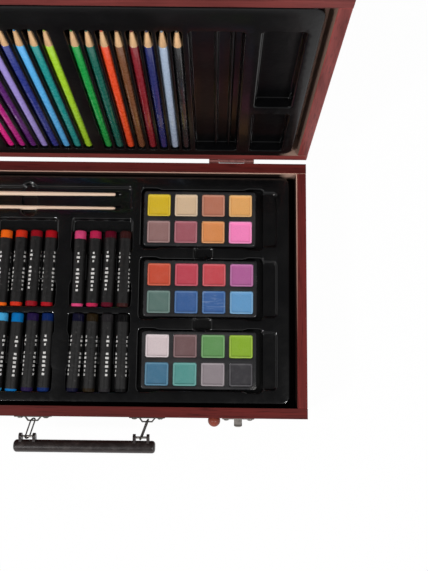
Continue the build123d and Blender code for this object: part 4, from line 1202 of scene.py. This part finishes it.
# ------------------------------------------------------------------ palettes and paint
class CASE_OT_paints(BuildStep):
    """Mould the palettes and fill their wells with cakes of paint"""

    bl_idname = "paint_case.paints"
    bl_label = "Palettes and paint"

    WELL_GAP = 0.5  # how much wider than its cake a well is, in millimetres
    SCRAPED = ("middle", 6)  # the palette and number, counted from nought, of the cake that was used

    def build(self, context):
        look = looks("case_trays")
        low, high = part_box("palette_front")
        corner = (high[0], low[1], high[2])
        feel = {"bent": 0.25, "dust": 0.05, "gloss": 0.15, "shine": 0.4}
        plastic = black_plastic("palette plastic", look.palette, 0.44, scuffed=corner, **feel)
        paint = self.paint_finish()
        for row, slot in (("back", "paint_warm"), ("middle", "paint_mixed"), ("front", "paint_cool")):
            low, high = mm_box(f"palette_{row}")
            cakes = sorted(solids_of(f"paint_cakes_{row}"), key=lambda box: (-round(box[0].y, 3), box[0].x))
            wells = []
            for box in cakes:
                centre, size = middle(box) / MM, (box[1] - box[0]) / MM
                shape = (centre.x, centre.y, size.x + self.WELL_GAP, size.y + self.WELL_GAP, 2.4)
                wells.append(Hollow([shape], 7.0, lean=0.4, rim=0.5, root=0.2))
            edge = tray_edge(low, high, high[2] - low[2] - 0.2, corner=4.0, rounding=1.2, lean=4.5)
            place = Matrix.Translation((0, 0, high[2] * MM))
            piece = sheet_piece(f"moulded_palette_{row}", edge, wells, 0.7 * MM, place, cell=0.4, filler=30)
            paint_all(piece, plastic)
            hand_over(piece, f"palette_{row}", f"palette_{row}")
            self.cakes(row, cakes, paint, slot)

    def cakes(self, row, boxes, paint, slot):
        """The cakes of one palette."""
        look = looks("case_paints")
        size = boxes[0][1] - boxes[0][0]
        half_x, half_y, tall = size.x / 2, size.y / 2, size.z
        rim, dish = look.rim * MM, look.dish * MM
        # distances inward from the side, and heights, up the side and over the rim to the middle
        section = (
            (0.0, 0.0), (0.0, tall - 1.1 * MM), (0.25 * MM, tall - 0.35 * MM),
            (0.6 * MM, tall - 0.08 * MM), (0.95 * MM, tall), (rim - 0.3 * MM, tall - 0.05 * MM),
            (rim, tall - 0.2 * dish), (rim + 0.12 * MM, tall - 0.9 * dish), (rim + 0.4 * MM, tall - dish),
            (rim * 2.2, tall - 1.05 * dish), (half_x * 0.75, tall - 0.95 * dish),
        )
        rings = []
        for inset, height in section:
            corner = max(2.3 * MM - inset * 0.9, 0.5 * MM)
            corner = min(corner, (half_y - inset) * 0.8)
            rings.append(rounded_ring(half_x - inset, half_y - inset, corner, height, 4))
        cake = new_mesh_object("cake", *ring_stack(rings))
        rubbed = cake.data.attributes.new("rubbed", "FLOAT", "POINT")
        on_rim = [float(2 <= level <= 6) for level in range(len(rings)) for _ in rings[0]]
        rubbed.data.foreach_set("value", on_rim)
        smooth_by_angle(cake, 50)
        spots = [Vector((*middle(box).xy, box[0].z)) for box in boxes]
        turns = [(0, 0, math.pi * (place % 2)) for place in range(len(boxes))]
        tints = colours("case_paints", row, 8)
        scraped = [float((row, place) == self.SCRAPED) for place in range(len(boxes))]
        piece = copies(f"cakes_of_paint_{row}", cake, spots, turns, paint, tints, {"scraped": scraped})
        hand_over(piece, f"palette_{row}", f"paint_cakes_{row}")

    def paint_finish(self):
        """Dry body colour, paler on the rim where it is rubbed, with pits and a dusty bloom."""
        finish = Finish("cake of paint", Roughness=0.72, Specular_IOR_Level=0.35)
        tint, bloom = finish.read("tint"), (0.9, 0.87, 0.85, 1)
        cloud = finish.noise(130.0, 5, 0.65)
        grain = finish.noise(900.0, 4, 0.6)
        colour = finish.veil(cloud, 0.45, 0.75, 0.025, tint, bloom)
        colour = finish.mix(finish.spread(grain, 0.3, 0.5, 0.12, 0), colour, (0.02, 0.02, 0.02, 1))
        paler = finish.node("ShaderNodeGamma", {"Color": colour, "Gamma": 0.81}).outputs[0]
        colour = finish.mix(finish.read("rubbed", "Fac"), colour, finish.mix(0.015, paler, bloom))
        scrape = finish.noise(1.0, 4, 0.6, finish.stretched((60, 420, 60), (0, 0, 0.6)), 0.8)
        scraped = finish.times(finish.spread(scrape, 0.54, 0.7, 0, 0.3), finish.read("scraped", "Fac"))
        colour = finish.mix(scraped, colour, (0.4, 0.5, 0.66, 1))
        weave = [
            finish.node("ShaderNodeTexWave", {"Vector": finish.place, "Scale": 300.0}, bands_direction=axis)
            for axis in "XY"
        ]
        press = finish.sum(*[wave.outputs["Fac"] for wave in weave])
        pressed = finish.spread(press, 0.0, 1.2, 0.1, 0)
        finish.set("Base Color", finish.mix(pressed, colour, (0.1, 0.09, 0.09, 1)))
        finish.bump(finish.sum(finish.sum(grain, cloud), finish.times(press, 0.3)), 0.35, 0.0004)
        return finish.material


# ------------------------------------------------------------------ pastels
class CASE_OT_pastels(BuildStep):
    """Lay the oil pastels in their bays, wrapped in black paper with printed dashes"""

    bl_idname = "paint_case.pastels"
    bl_label = "Oil pastels"

    # each bay's slot, and for each stick its shift to the right, its turn in degrees, its bare head
    # and how far right the print lies, with lengths in millimetres
    LIE = {
        "back": {
            "left": ("yellow", (0.3, 1.2, 8.2, -1.4), (-0.2, 1.6, 7.4, 4.6),
                     (0.1, 1.0, 7.0, -5.4), (0.0, 1.4, 8.4, 0.8)),
            "middle": ("red", (0.2, 1.6, 8.2, -2.7), (0.1, 1.6, 7.1, -5.1),
                       (0.0, 1.66, 5.1, -2.4), (-0.2, 1.3, 7.1, 5.76)),
            "right": ("pink", (0.4, 0.6, 8.9, 0.0), (0.2, 1.05, 7.9, 0.0),
                      (0.0, 1.3, 6.3, -1.2), (0.0, 1.0, 7.1, -4.9)),
        },
        "front": {
            "left": ("green", (0.2, 2.0, 7.6, 2.2), (0.0, 1.6, 8.1, -4.0),
                     (0.1, 1.8, 7.2, 5.3), (0.0, 1.2, 7.5, -0.6)),
            "middle": ("blue", (0.0, 2.3, 7.9, 5.0), (0.0, 2.3, 9.8, 2.4),
                       (0.1, 2.1, 7.1, -5.0), (0.1, 1.3, 7.1, 0.3)),
            "right": ("dark", (0.3, 2.7, 7.1, -5.0), (0.0, 1.05, 7.4, -4.5),
                      (-0.1, 0.7, 7.6, 2.0), (0.0, 0.3, 7.6, -5.2)),
        },
    }
    BARE = 3.2  # how much of a stick's foot is bare, in millimetres
    # the sleeve in millimetres: length, inner and outer radius without its lap, and facets around
    SLEEVE, INNER, OUTER, FACETS = 59.4, 5.3, 5.47, 48
    PRINT_RADIUS = 5.5  # the radius at which the sleeve's UV is true
    THIRD, BEAT, DASH = 11.52, 3.75, 1.95  # from print to print around, and from dash to dash along
    PRINTED = ((6.0, 17.25), (-19.5, 3.0))  # where along the sleeve dashes lie

    def build(self, context):
        wax, paper = self.wax_finish(), self.paper_finish()
        for row in ROWS:
            sleeves, sleeve_turns, rolls = [], [], []
            for number, (bay, (slot, *lie)) in enumerate(self.LIE[row].items()):
                node = f"pastel_sticks_{row}_{bay}"
                boxes = solids_of(node)
                spots = [middle(box) + Vector((shift * MM, 0, 0)) for box, (shift, *_) in zip(boxes, lie)]
                turns = [(0, 0, -math.radians(turn)) for _, turn, _, _ in lie]
                tints = colours("case_pastels", row, 4, 1 + 4 * number)
                size = boxes[0][1] - boxes[0][0]
                stick = self.stick(size.x / 2, size.y / 2)
                piece = copies(f"pastels_{row}_{bay}", stick, spots, turns, wax, tints)
                hand_over(piece, "case", node)
                for spot, turn, (*_, head, roll) in zip(spots, turns, lie):
                    slide = (self.BARE - head) / 2 * MM
                    sleeves.append(spot + Vector((-slide * math.sin(turn[2]), slide, 0)))
                    sleeve_turns.append(turn)
                    rolls.append(-roll)
            extra = {"roll": rolls}
            piece = copies(f"wrappers_{row}", self.wrapper(), sleeves, sleeve_turns, paper, extra=extra)
            hand_over(piece, "case", f"pastel_wrappers_{row}")

    def stick(self, radius, half):
        """A stick of oil pastel, its ends a little worn, from half its width and length."""
        profile = (
            (-half, 0.6), (-half + 0.1 * MM, 0.86), (-half + 0.5 * MM, 0.97), (-half + 1.2 * MM, 1), (0, 1),
            (half - 1.6 * MM, 1), (half - 0.7 * MM, 0.965), (half - 0.2 * MM, 0.86), (half - 0.02 * MM, 0.6),
        )
        return turned("stick", [(place, radius * share) for place, share in profile], 40, (0, 1, 0))

    def wrapper(self):
        """A paper sleeve with a lapped seam; its UV runs round it and along it in millimetres."""
        count, half = self.FACETS, self.SLEEVE / 2
        angles = [2 * math.pi * step / count for step in range(count)]

        def ring(place, radii):
            return [
                Vector((radius * math.sin(angle), place, radius * math.cos(angle))) * MM
                for angle, radius in zip(angles, radii)
            ]

        lapped = [self.OUTER + 0.1 * max(0.0, 1 - 9 * step / count) for step in range(count)]
        flared = [radius + 0.05 for radius in lapped]
        rings = [ring(half * n / 6, flared if abs(n) == 6 else lapped) for n in range(-6, 7)]
        rings += [ring(place, [self.INNER] * count) for place in (half, -half)]
        vertices, faces = ring_stack(rings, False, False)
        last = (len(rings) - 1) * count
        faces += [(last + s, last + (s + 1) % count, (s + 1) % count, s) for s in range(count)]
        piece = new_mesh_object("wrapper", vertices, faces)
        uv = piece.data.uv_layers.new(name="sleeve")
        for face in piece.data.polygons:
            turns = [math.atan2(vertices[v].x, vertices[v].z) for v in face.vertices]
            wrapped = max(turns) - min(turns) > math.pi
            for loop, turn in zip(face.loop_indices, turns):
                turn = turn + 2 * math.pi if wrapped and turn < 0 else turn
                y = vertices[piece.data.loops[loop].vertex_index].y / MM
                uv.data[loop].uv = (turn * self.PRINT_RADIUS, y)
        smooth_by_angle(piece, 50)
        return piece

    def wax_finish(self):
        """Oil pastel: a waxy crayon, smudged by its neighbours."""
        finish = Finish("oil pastel", Roughness=0.5, Specular_IOR_Level=0.08)
        tint = finish.read("tint")
        smudge = finish.noise(210.0, 5, 0.62)
        streak = finish.noise(1.0, 4, 0.6, finish.stretched((1300, 160, 1300)))
        colour = finish.veil(smudge, 0.5, 0.72, 0.3, tint, (0.03, 0.025, 0.025, 1))
        finish.set("Base Color", finish.veil(streak, 0.55, 0.75, 0.05, colour, (0.6, 0.58, 0.56, 1)))
        finish.set("Roughness", finish.spread(smudge, 0.3, 0.7, 0.42, 0.62))
        finish.bump(finish.sum(streak, smudge), 0.4, 0.0003)
        return finish.material

    def paper_finish(self):
        """Black satin paper printed with rows of plain dashes along the stick."""
        look = looks("case_pastels")
        finish = Finish("wrapper paper", look.paper, Roughness=0.42, Specular_IOR_Level=0.35)
        u, v, _ = finish.parts(finish.node("ShaderNodeTexCoord").outputs["UV"])
        around = finish.sum(u, finish.read("roll", "Fac"))
        third = finish.sum(finish.sum(around, self.THIRD / 2), self.THIRD, "FLOORED_MODULO")
        height = finish.unsigned(finish.sum(third, self.THIRD / 2, "SUBTRACT"))
        along = finish.sum(v, 16 * self.BEAT)  # above nought all along the sleeve
        beat = finish.sum(along, self.BEAT, "FLOORED_MODULO")
        number = finish.sum(finish.sum(along, self.BEAT, "DIVIDE"), 0.0, "FLOOR")
        chance = finish.node("ShaderNodeTexWhiteNoise", {"W": number}, noise_dimensions="1D").outputs[0]
        inside = finish.sum(height, finish.sum(finish.times(chance, 0.9), 0.75), "LESS_THAN")
        ink = finish.times(finish.sum(beat, self.DASH, "LESS_THAN"), inside)
        printed = [self.between(finish, v, low, high) for low, high in self.PRINTED]
        ink = finish.times(ink, finish.sum(*printed))
        rubbed = finish.noise(420.0, 4, 0.6)
        ink = finish.times(ink, finish.spread(rubbed, 0.3, 0.45, 0.55, 1.0))
        wear = finish.veil(rubbed, 0.62, 0.74, 0.2, look.paper, (0.2, 0.19, 0.18, 1))
        finish.set("Base Color", finish.mix(ink, wear, look.mark))
        finish.set("Roughness", finish.spread(rubbed, 0.3, 0.7, 0.36, 0.55))
        finish.bump(finish.noise(700.0, 3, 0.6), 0.12, 0.0002)
        return finish.material

    def between(self, finish, value, low, high):
        """1 where a value lies between two others."""
        return finish.times(finish.sum(value, low, "GREATER_THAN"), finish.sum(value, high, "LESS_THAN"))


# ------------------------------------------------------------------ brushes
class CASE_OT_brushes(BuildStep):
    """Make the two brushes: varnished handles, crimped ferrules and bristles"""

    bl_idname = "paint_case.brushes"
    bl_label = "Brushes"

    def build(self, context):
        ferrules = solids_of("brush_ferrules")
        spots = [Vector((0, middle(box).y, middle(box).z)) for box in ferrules]
        # places along a brush in millimetres: the tip, the ferrule's two ends and the handle's end
        left, right = ferrules[0][0].x / MM, ferrules[0][1].x / MM
        tip, end = solids_of("brush_bristles")[0][0].x / MM, solids_of("brush_handles")[0][1].x / MM
        crimps = [left + share * (right - left) for share in (0.42, 0.52, 0.84, 0.92)]
        handle = [
            (right - 6, 1.7), (right, 1.75), (right + 0.3, 2.0), (right + 8, 2.1), (right + 22, 2.1),
            (right + 60, 1.95), (end - 20, 1.62), (end - 3, 1.52), (end - 0.9, 1.4), (end - 0.2, 0.9),
            (end, 0.3),
        ]
        sleeve = [(left, 1.7), (left, 2.2), (left + 0.4, 2.35)]
        sleeve += [(at + out, 2.45 if out else 2.2) for at in crimps for out in (-0.7, 0, 0.7)]
        sleeve += [(right - 0.2, 2.5), (right, 2.4), (right, 1.9), (right - 8, 1.9), (left + 1, 1.7)]
        tuft = [
            (tip, 0.08), (tip + 1.2, 0.45), (left - 10, 1.0), (left - 6, 1.6), (left - 2.5, 1.85),
            (left, 1.75), (left + 7, 1.6),
        ]
        varnish = wood_finish("brush varnish", looks("case_fittings").brush, "x", 0.06, 0.35, 0.3)
        tarnish, worn = tone(150, 146, 140), tone(235, 233, 230)
        silver = metal_finish("ferrule nickel", tone(205, 202, 196), 0.22, tarnish, worn)
        for name, profile, count, finish, slot, node in (
            ("handles_of_brushes", handle, 20, varnish, "brush_wood", "brush_handles"),
            ("ferrules_of_brushes", sleeve, 28, silver, "ferrule_metal", "brush_ferrules"),
            ("tufts_of_brushes", tuft, 24, self.hair_finish(), "bristle", "brush_bristles"),
        ):
            part = turned("part of a brush", in_metres(profile), count, (1, 0, 0))
            if profile is sleeve:
                smooth_by_angle(part, 40)
            hand_over(copies(name, part, spots, [(0, 0, 0)] * len(spots), finish), "case", node)

    def hair_finish(self):
        """Brown hair, its strands running to the tip."""
        finish = Finish("bristle hair", tone(120, 78, 48), Roughness=0.5)
        strand = finish.noise(1.0, 3, 0.6, finish.stretched((120, 4200, 4200)))
        brown = finish.mix(finish.spread(strand, 0.4, 0.6), tone(84, 50, 28), tone(196, 150, 100))
        finish.set("Base Color", brown)
        finish.bump(strand, 0.6, 0.0003)
        return finish.material


# ------------------------------------------------------------------ lid tray and pencils
class CASE_OT_lid_tray(BuildStep):
    """Form the lid's tray with its pencil troughs and small pockets"""

    bl_idname = "paint_case.lid_tray"
    bl_label = "Lid tray"

    # sizes in millimetres
    TROUGH, LONG, DEEP = 8.8, 180, 8.6  # a pencil's trough
    WEB = 6.7  # from the last pencil's middle to the ridged pocket
    POCKET, GAP, MARGIN = 39, 9.0, 8.6  # that pocket's width, the web beside it, and the tray's margin
    POCKETS = ((35, 70), (129.5, 101))  # the outer pockets: middle from the foot, and length
    RIDGES = (0.0, 11.0)  # the two ridges, from the middle of their pocket

    def build(self, context):
        look = looks("case_trays")
        shut = [SHUT @ vertex.co for vertex in frame["nodes"]["lid_tray"].data.vertices]
        low = np.array([min(point[axis] for point in shut) for axis in range(3)]) / MM
        high = np.array([max(point[axis] for point in shut) for axis in range(3)]) / MM
        # the sheet is formed face up, with its local Y towards the lid's free edge
        face = Matrix(((1, 0, 0, 0), (0, -1, 0, 0), (0, 0, -1, low[2] * MM), (0, 0, 0, 1)))
        hollows = []
        for group in BAYS:
            for box in solids_of(f"pencil_barrels_{group}", SHUT):
                x = middle(box).x / MM
                y = -box[1].y / MM + 87.5
                trough = (x, y, self.TROUGH, self.LONG, 4.3)
                hollows.append(Hollow([trough], self.DEEP, lean=2, rim=0.7, root=3.0))
        inner = x + self.WEB + self.POCKET / 2
        left, right = inner + self.POCKET / 2 + self.GAP, high[0] - self.MARGIN
        outer, width, foot = (left + right) / 2, right - left, y - self.LONG / 2
        pockets = [(inner, y, self.POCKET, self.LONG, 3.5)]
        pockets += [(outer, foot + up, width, length, 3.5) for up, length in self.POCKETS]
        hollows += [Hollow([pocket], self.DEEP, lean=3, rim=look.rim, root=1.2) for pocket in pockets]
        for ridge in self.RIDGES:
            shape = (inner + ridge, y, 4.0, self.LONG - 2, 1.9)
            hollows.append(Hollow([shape], 4.6, lean=9, rim=0.6, root=0.7, base=-self.DEEP, up=True))
        first, last = (low[0], -high[1]), (high[0], -low[1])
        edge = tray_edge(first, last, high[2] - low[2] - 0.4, corner=9.0, rounding=0.7, lean=0.6)
        piece = sheet_piece("formed_lid_tray", edge, hollows, look.wall * MM, OPEN @ face, warp=0.08)
        flat = OPEN.to_3x3() @ Vector((0, 0, 1))
        finish = black_plastic("lid tray plastic", look.colour, 0.3, 0.12, gloss=0.1, shine=0.15, flat=flat)
        paint_all(piece, finish)
        hand_over(piece, "lid", "lid_tray")


class CASE_OT_pencils(BuildStep):
    """Sharpen the colour pencils and lay them in the lid's troughs"""

    bl_idname = "paint_case.pencils"
    bl_label = "Colour pencils"

    # sizes in millimetres; a profile's places are counted from the barrel's rounded end
    RADIUS, LENGTH, ROUNDING = 3.7, 156.0, 2.96  # the lacquered barrel
    CONE = ((155.6, 1.0), (155.8, 3.35), (156.4, 3.55), (170.0, 1.2), (170.0, 0.6))  # sharpened wood
    POINT = ((169.7, 0.5), (169.8, 1.15), (174.2, 0.42), (174.8, 0.25), (175.0, 0.05))  # slightly blunt

    def build(self, context):
        lacquer, lead = self.lacquer_finish(), self.lead_finish()
        cedar = wood_finish("pencil cedar", looks("case_pencils").wood, "z", 0.2, 0.65, figure=4.0)
        all_spots, all_tints = [], []
        for group, slot in (("left", "warm"), ("middle", "cool"), ("right", "dark")):
            boxes = solids_of(f"pencil_barrels_{group}", SHUT)
            tints = colours("case_pencils", group, 8)
            spots = [Vector((middle(box).x, box[1].y, middle(box).z)) for box in boxes]
            all_spots += spots
            all_tints += tints
            laid = (spots, lacquer, tints, f"pencil_lacquer_{slot}", f"pencil_barrels_{group}")
            self.lay(f"pencils_{group}", self.barrel(), 24, *laid)
        laid = (all_spots, cedar, all_tints, "pencil_wood", "pencil_cones")
        self.lay("pencil_points_wood", self.CONE, 24, *laid)
        laid = (all_spots, lead, all_tints, "pencil_lead", "pencil_leads")
        self.lay("pencil_points_lead", self.POINT, 16, *laid)

    def lay(self, name, profile, count, spots, material, tints, slot, node):
        """Copies of a turned part laid in the shut lid, and turned with it to the open place."""
        profile = in_metres((-place, radius) for place, radius in reversed(profile))
        part = turned("part of a pencil", profile, count, (0, 1, 0))
        piece = copies(name, part, spots, [(0, 0, 0)] * len(spots), material, tints)
        piece.data.transform(OPEN)
        hand_over(piece, "lid", node)

    def barrel(self):
        """The profile of the lacquered barrel, from its rounded end at zero."""
        radius, length, rounding = self.RADIUS, self.LENGTH, self.ROUNDING
        bend = [(rounding * (1 - math.cos(a)), radius - rounding * (1 - math.sin(a)))
                for a in (math.pi / 2 * n / 5 for n in range(6))]
        return [
            (0.0, 0.05), *bend, (60.0, radius), (length - 0.6, radius), (length, radius - 0.25),
            (length, 1.0),
        ]

    def lacquer_finish(self):
        """Glossy lacquer in the pencil's colour, faintly rippled."""
        finish = Finish("pencil lacquer", Roughness=0.28, Coat_Weight=0.5)
        wear = finish.noise(320.0, 4, 0.6)
        worn = finish.veil(wear, 0.66, 0.8, 0.08, finish.read("tint"), (0.4, 0.36, 0.33, 1))
        finish.set("Base Color", worn)
        finish.set("Roughness", finish.spread(wear, 0.3, 0.7, 0.2, 0.36))
        finish.bump(finish.noise(120.0, 2), 0.08, 0.0004)
        return finish.material

    def lead_finish(self):
        """Coloured lead, waxy and a little dusty."""
        finish = Finish("pencil lead", Roughness=0.5)
        dust = finish.noise(900.0, 4, 0.6)
        dusty = finish.veil(dust, 0.4, 0.7, 0.3, finish.read("tint"), (0.8, 0.8, 0.8, 1))
        finish.set("Base Color", dusty)
        finish.bump(dust, 0.3, 0.0002)
        return finish.material


# ------------------------------------------------------------------ metal fittings, handle and knobs
def metals():
    """The metal finishes by name."""
    look = looks("case_fittings")
    nickel, bronze, steel, wire = look.nickel, look.bronze, tone(185, 183, 180), tone(74, 70, 68)
    return {
        name: metal_finish(text, colour, rough, tarnish, worn, body)
        for name, text, colour, rough, tarnish, worn, body in (
            ("nickel", "nickel plate", nickel, 0.36, shade(nickel, 0.45), shade(nickel, 1.5), 0.85),
            ("bronze", "bronzed steel", bronze, 0.42, shade(bronze, 0.3), shade(bronze, 2.0), 0.85),
            ("dulled", "dulled nickel", shade(nickel, 0.3), 0.4, shade(nickel, 0.12), shade(nickel, 0.6), 1),
            ("tarnished", "tarnished nickel", shade(nickel, 0.55), 0.4, shade(nickel, 0.2), nickel, 1),
            ("steel", "screw steel", steel, 0.3, tone(120, 116, 110), tone(220, 218, 215), 1),
            ("wire", "link wire", wire, 0.36, shade(wire, 0.5), shade(wire, 1.6), 1),
        )
    }


class CASE_OT_fittings(BuildStep):
    """Stamp the hinges, brackets, catches and hasps, with their pins and slotted screws"""

    bl_idname = "paint_case.fittings"
    bl_label = "Metal fittings"

    # sizes in millimetres; each plate: its node, body, slot, finish, and how far its edges are
    # rounded
    PLATES = (
        ("hinge_leaves_base", "case", "bronze", "bronze", 0.22),
        ("hinge_leaves_lid", "lid", "bronze", "bronze", 0.22),
        ("handle_brackets", "case", "nickel", "dulled", 0.3),
        ("catch_plates", "case", "nickel", "nickel", 0.3),
        ("hasp_plates", "lid", "nickel", "nickel", 0.25),
        ("hasp_left", "hasp_left", "nickel", "nickel", 0.22),
        ("hasp_right", "hasp_right", "nickel", "nickel", 0.22),
        ("hinge_pins", "case", "bronze", "bronze", 0.25),
        ("hasp_pins", "lid", "nickel", "nickel", 0.2),
        ("grip_pins", "handle_grip", "nickel", "nickel", 0.25),
    )
    LUG = 2.6  # the rounding of the catch plates' lugs
    # each set of screws: its node, body, the way the heads face, slot and finish
    SCREWS = (
        ("front_screws", "case", (0, -1, 0), "nickel", "tarnished"),
        ("hinge_screws_base", "case", (0, 1, 0), "bronze", "bronze"),
        ("hinge_screws_lid", "lid", (0, 1, 0), "bronze", "bronze"),
        ("hasp_screws", "lid", (0, -1, 0), "nickel", "nickel"),
        ("knob_screws", "drawer", (0, 1, 0), "steel", "steel"),
    )
    HEAD = 1.3  # the height of a screw's head
    SHANK = ((0.0, 0.2), (1.2, 1.15))  # its tip, as places from the end and radii
    DOME = ((0.0, 1.15), (0.0, 2.45), (0.35, 2.48), (0.75, 2.15), (1.05, 1.6), (1.22, 1.0), (1.29, 0.4))
    CUT = (6, 1.4, 0.75)  # the slot in its head

    def build(self, context):
        finishes = metals()
        for node, body, slot, finish, width in self.PLATES:
            rounded = self.LUG * MM if node == "catch_plates" else 0
            piece = softened(node, f"{node}_stamped", width * MM, rounded=rounded)
            paint_all(piece, finishes[finish])
            hand_over(piece, body, node)
        piece = softened("handle_links", "handle_links_bent", 0.0)
        paint_all(piece, finishes["wire"])
        hand_over(piece, "handle_links", "handle_links")
        for node, body, out, slot, finish in self.SCREWS:
            self.screws(node, body, Vector(out), slot, finishes[finish])

    def screws(self, node, body, out, slot, finish):
        """Domed and slotted screws in the places of a node's plain ones."""
        boxes = solids_of(node, SHUT if body == "lid" else Matrix.Identity(4))
        head, spots, turns = self.HEAD * MM, [], []
        for number, box in enumerate(boxes):
            centre = middle(box)
            face = box[1].y - head if out.y > 0 else box[0].y + head
            spots.append(Vector((centre.x, face, centre.z)))
            turns.append((0, 0.7 + 2.1 * number, 0))
        screw = self.screw(out, (boxes[0][1].y - boxes[0][0].y) / MM - self.HEAD)
        piece = copies(f"{node}_slotted", screw, spots, turns, finish)
        if body == "lid":
            piece.data.transform(OPEN)
        hand_over(piece, body, node)

    def screw(self, out, reach):
        """One screw about the origin, its head's seat at zero and its shank behind."""
        profile = [(place - reach, radius) for place, radius in self.SHANK] + list(self.DOME)
        screw = turned("screw", in_metres(profile), 28, out)
        cutter = bmesh.new()
        bmesh.ops.create_cube(cutter, size=1.0)
        bmesh.ops.scale(cutter, vec=Vector(self.CUT) * MM, verts=cutter.verts)
        bmesh.ops.translate(cutter, vec=out * 1.35 * MM, verts=cutter.verts)
        slot_mesh = bpy.data.meshes.new("slot")
        cutter.to_mesh(slot_mesh)
        cutter.free()
        slot = linked("slot", slot_mesh)
        cut = screw.modifiers.new("slot", "BOOLEAN")
        cut.operation = "DIFFERENCE"
        cut.object = slot
        cut.solver = "EXACT"
        screw = settled(screw, "screw")
        drop(slot)
        smooth_by_angle(screw, 40)
        return screw


class CASE_OT_handle(BuildStep):
    """Mould the carrying handle's grip"""

    bl_idname = "paint_case.handle"
    bl_label = "Handle"

    def build(self, context):
        piece = softened("handle_grip", "handle_grip_moulded", 0.5 * MM, 3, 40)
        dark = tone(34, 26, 25)
        finish = Finish("grip plastic", dark, Roughness=0.38)
        haze = finish.noise(150.0, 4, 0.6)
        scuff = finish.noise(1.0, 3, 0.6, finish.stretched((90, 1500, 1500)))
        tint = finish.veil(haze, 0.45, 0.75, 0.25, dark, tone(92, 80, 76))
        finish.set("Base Color", finish.veil(scuff, 0.64, 0.76, 0.3, tint, tone(120, 108, 104)))
        finish.set("Roughness", finish.spread(haze, 0.3, 0.7, 0.3, 0.48))
        finish.bump(finish.sum(scuff, haze), 0.15, 0.0003)
        paint_all(piece, finish.material)
        hand_over(piece, "handle_grip", "handle_grip")


class CASE_OT_knobs(BuildStep):
    """Turn the drawer's two knobs"""

    bl_idname = "paint_case.knobs"
    bl_label = "Drawer knobs"

    # sizes in millimetres: the neck's profile, and the ball's middle and radius
    NECK, CENTRE, RADIUS = ((0.0, 1.3), (0.0, 3.9), (0.5, 4.3), (1.3, 4.5)), 4.0, 5.78

    def build(self, context):
        boxes = solids_of("drawer_knobs")
        tall = (boxes[0][1].y - boxes[0][0].y) / MM
        swing = [math.radians(-18 + 10.6 * n) for n in range(11)]
        ball = [(self.CENTRE + self.RADIUS * math.sin(a), self.RADIUS * math.cos(a)) for a in swing]
        profile = [(min(place, tall), max(radius, 0.1)) for place, radius in (*self.NECK, *ball)]
        knob = turned("knob", in_metres(profile), 40, (0, -1, 0))
        spots = [Vector((middle(box).x, box[1].y, middle(box).z)) for box in boxes]
        finish = wood_finish("knob varnish", looks("case_fittings").knob, "y", 0.22, 0.45, 0.2, 1.6)
        piece = copies("turned_knobs", knob, spots, [(0, 0.4, 0), (0, 2.2, 0)], finish)
        hand_over(piece, "drawer", "drawer_knobs")


# ------------------------------------------------------------------ panel and registration
GROUPS = {
    "case_wood": WoodLooks,
    "case_trays": TrayLooks,
    "case_paints": PaintLooks,
    "case_pastels": PastelLooks,
    "case_pencils": PencilLooks,
    "case_fittings": FittingLooks,
    "case_stage": StageLooks,
}
STEPS = (
    CASE_OT_stage,
    CASE_OT_wood,
    CASE_OT_base_tray,
    CASE_OT_paints,
    CASE_OT_pastels,
    CASE_OT_brushes,
    CASE_OT_lid_tray,
    CASE_OT_pencils,
    CASE_OT_fittings,
    CASE_OT_handle,
    CASE_OT_knobs,
)


class CASE_PT_panel(bpy.types.Panel):
    """Sizes and colours of the paint case, and the steps that build it"""

    bl_idname = "CASE_PT_panel"
    bl_label = "Paint case"
    bl_space_type = "VIEW_3D"
    bl_region_type = "UI"
    bl_category = "Paint case"

    def draw(self, context):
        for step in STEPS:
            self.layout.operator(step.bl_idname)
        for group, kind in GROUPS.items():
            box = self.layout.box()
            for name in kind.__annotations__:
                box.prop(getattr(context.scene, group), name)


def register():
    """Register the property groups, the operators and the panel."""
    for group, kind in GROUPS.items():
        bpy.utils.register_class(kind)
        setattr(bpy.types.Scene, group, PointerProperty(type=kind))
    for kind in STEPS + (CASE_PT_panel,):
        bpy.utils.register_class(kind)


def unregister():
    """Undo register."""
    for kind in reversed(STEPS + (CASE_PT_panel,)):
        bpy.utils.unregister_class(kind)
    for group, kind in GROUPS.items():
        delattr(bpy.types.Scene, group)
        bpy.utils.unregister_class(kind)


def main():
    """Run every step in order."""
    register()
    for step in STEPS:
        family, name = step.bl_idname.split(".")
        result = getattr(getattr(bpy.ops, family), name)()
        if result != {"FINISHED"}:
            raise RuntimeError(f"{step.bl_label} did not finish")
    bpy.context.view_layer.update()


if __name__ == "__main__":
    main()
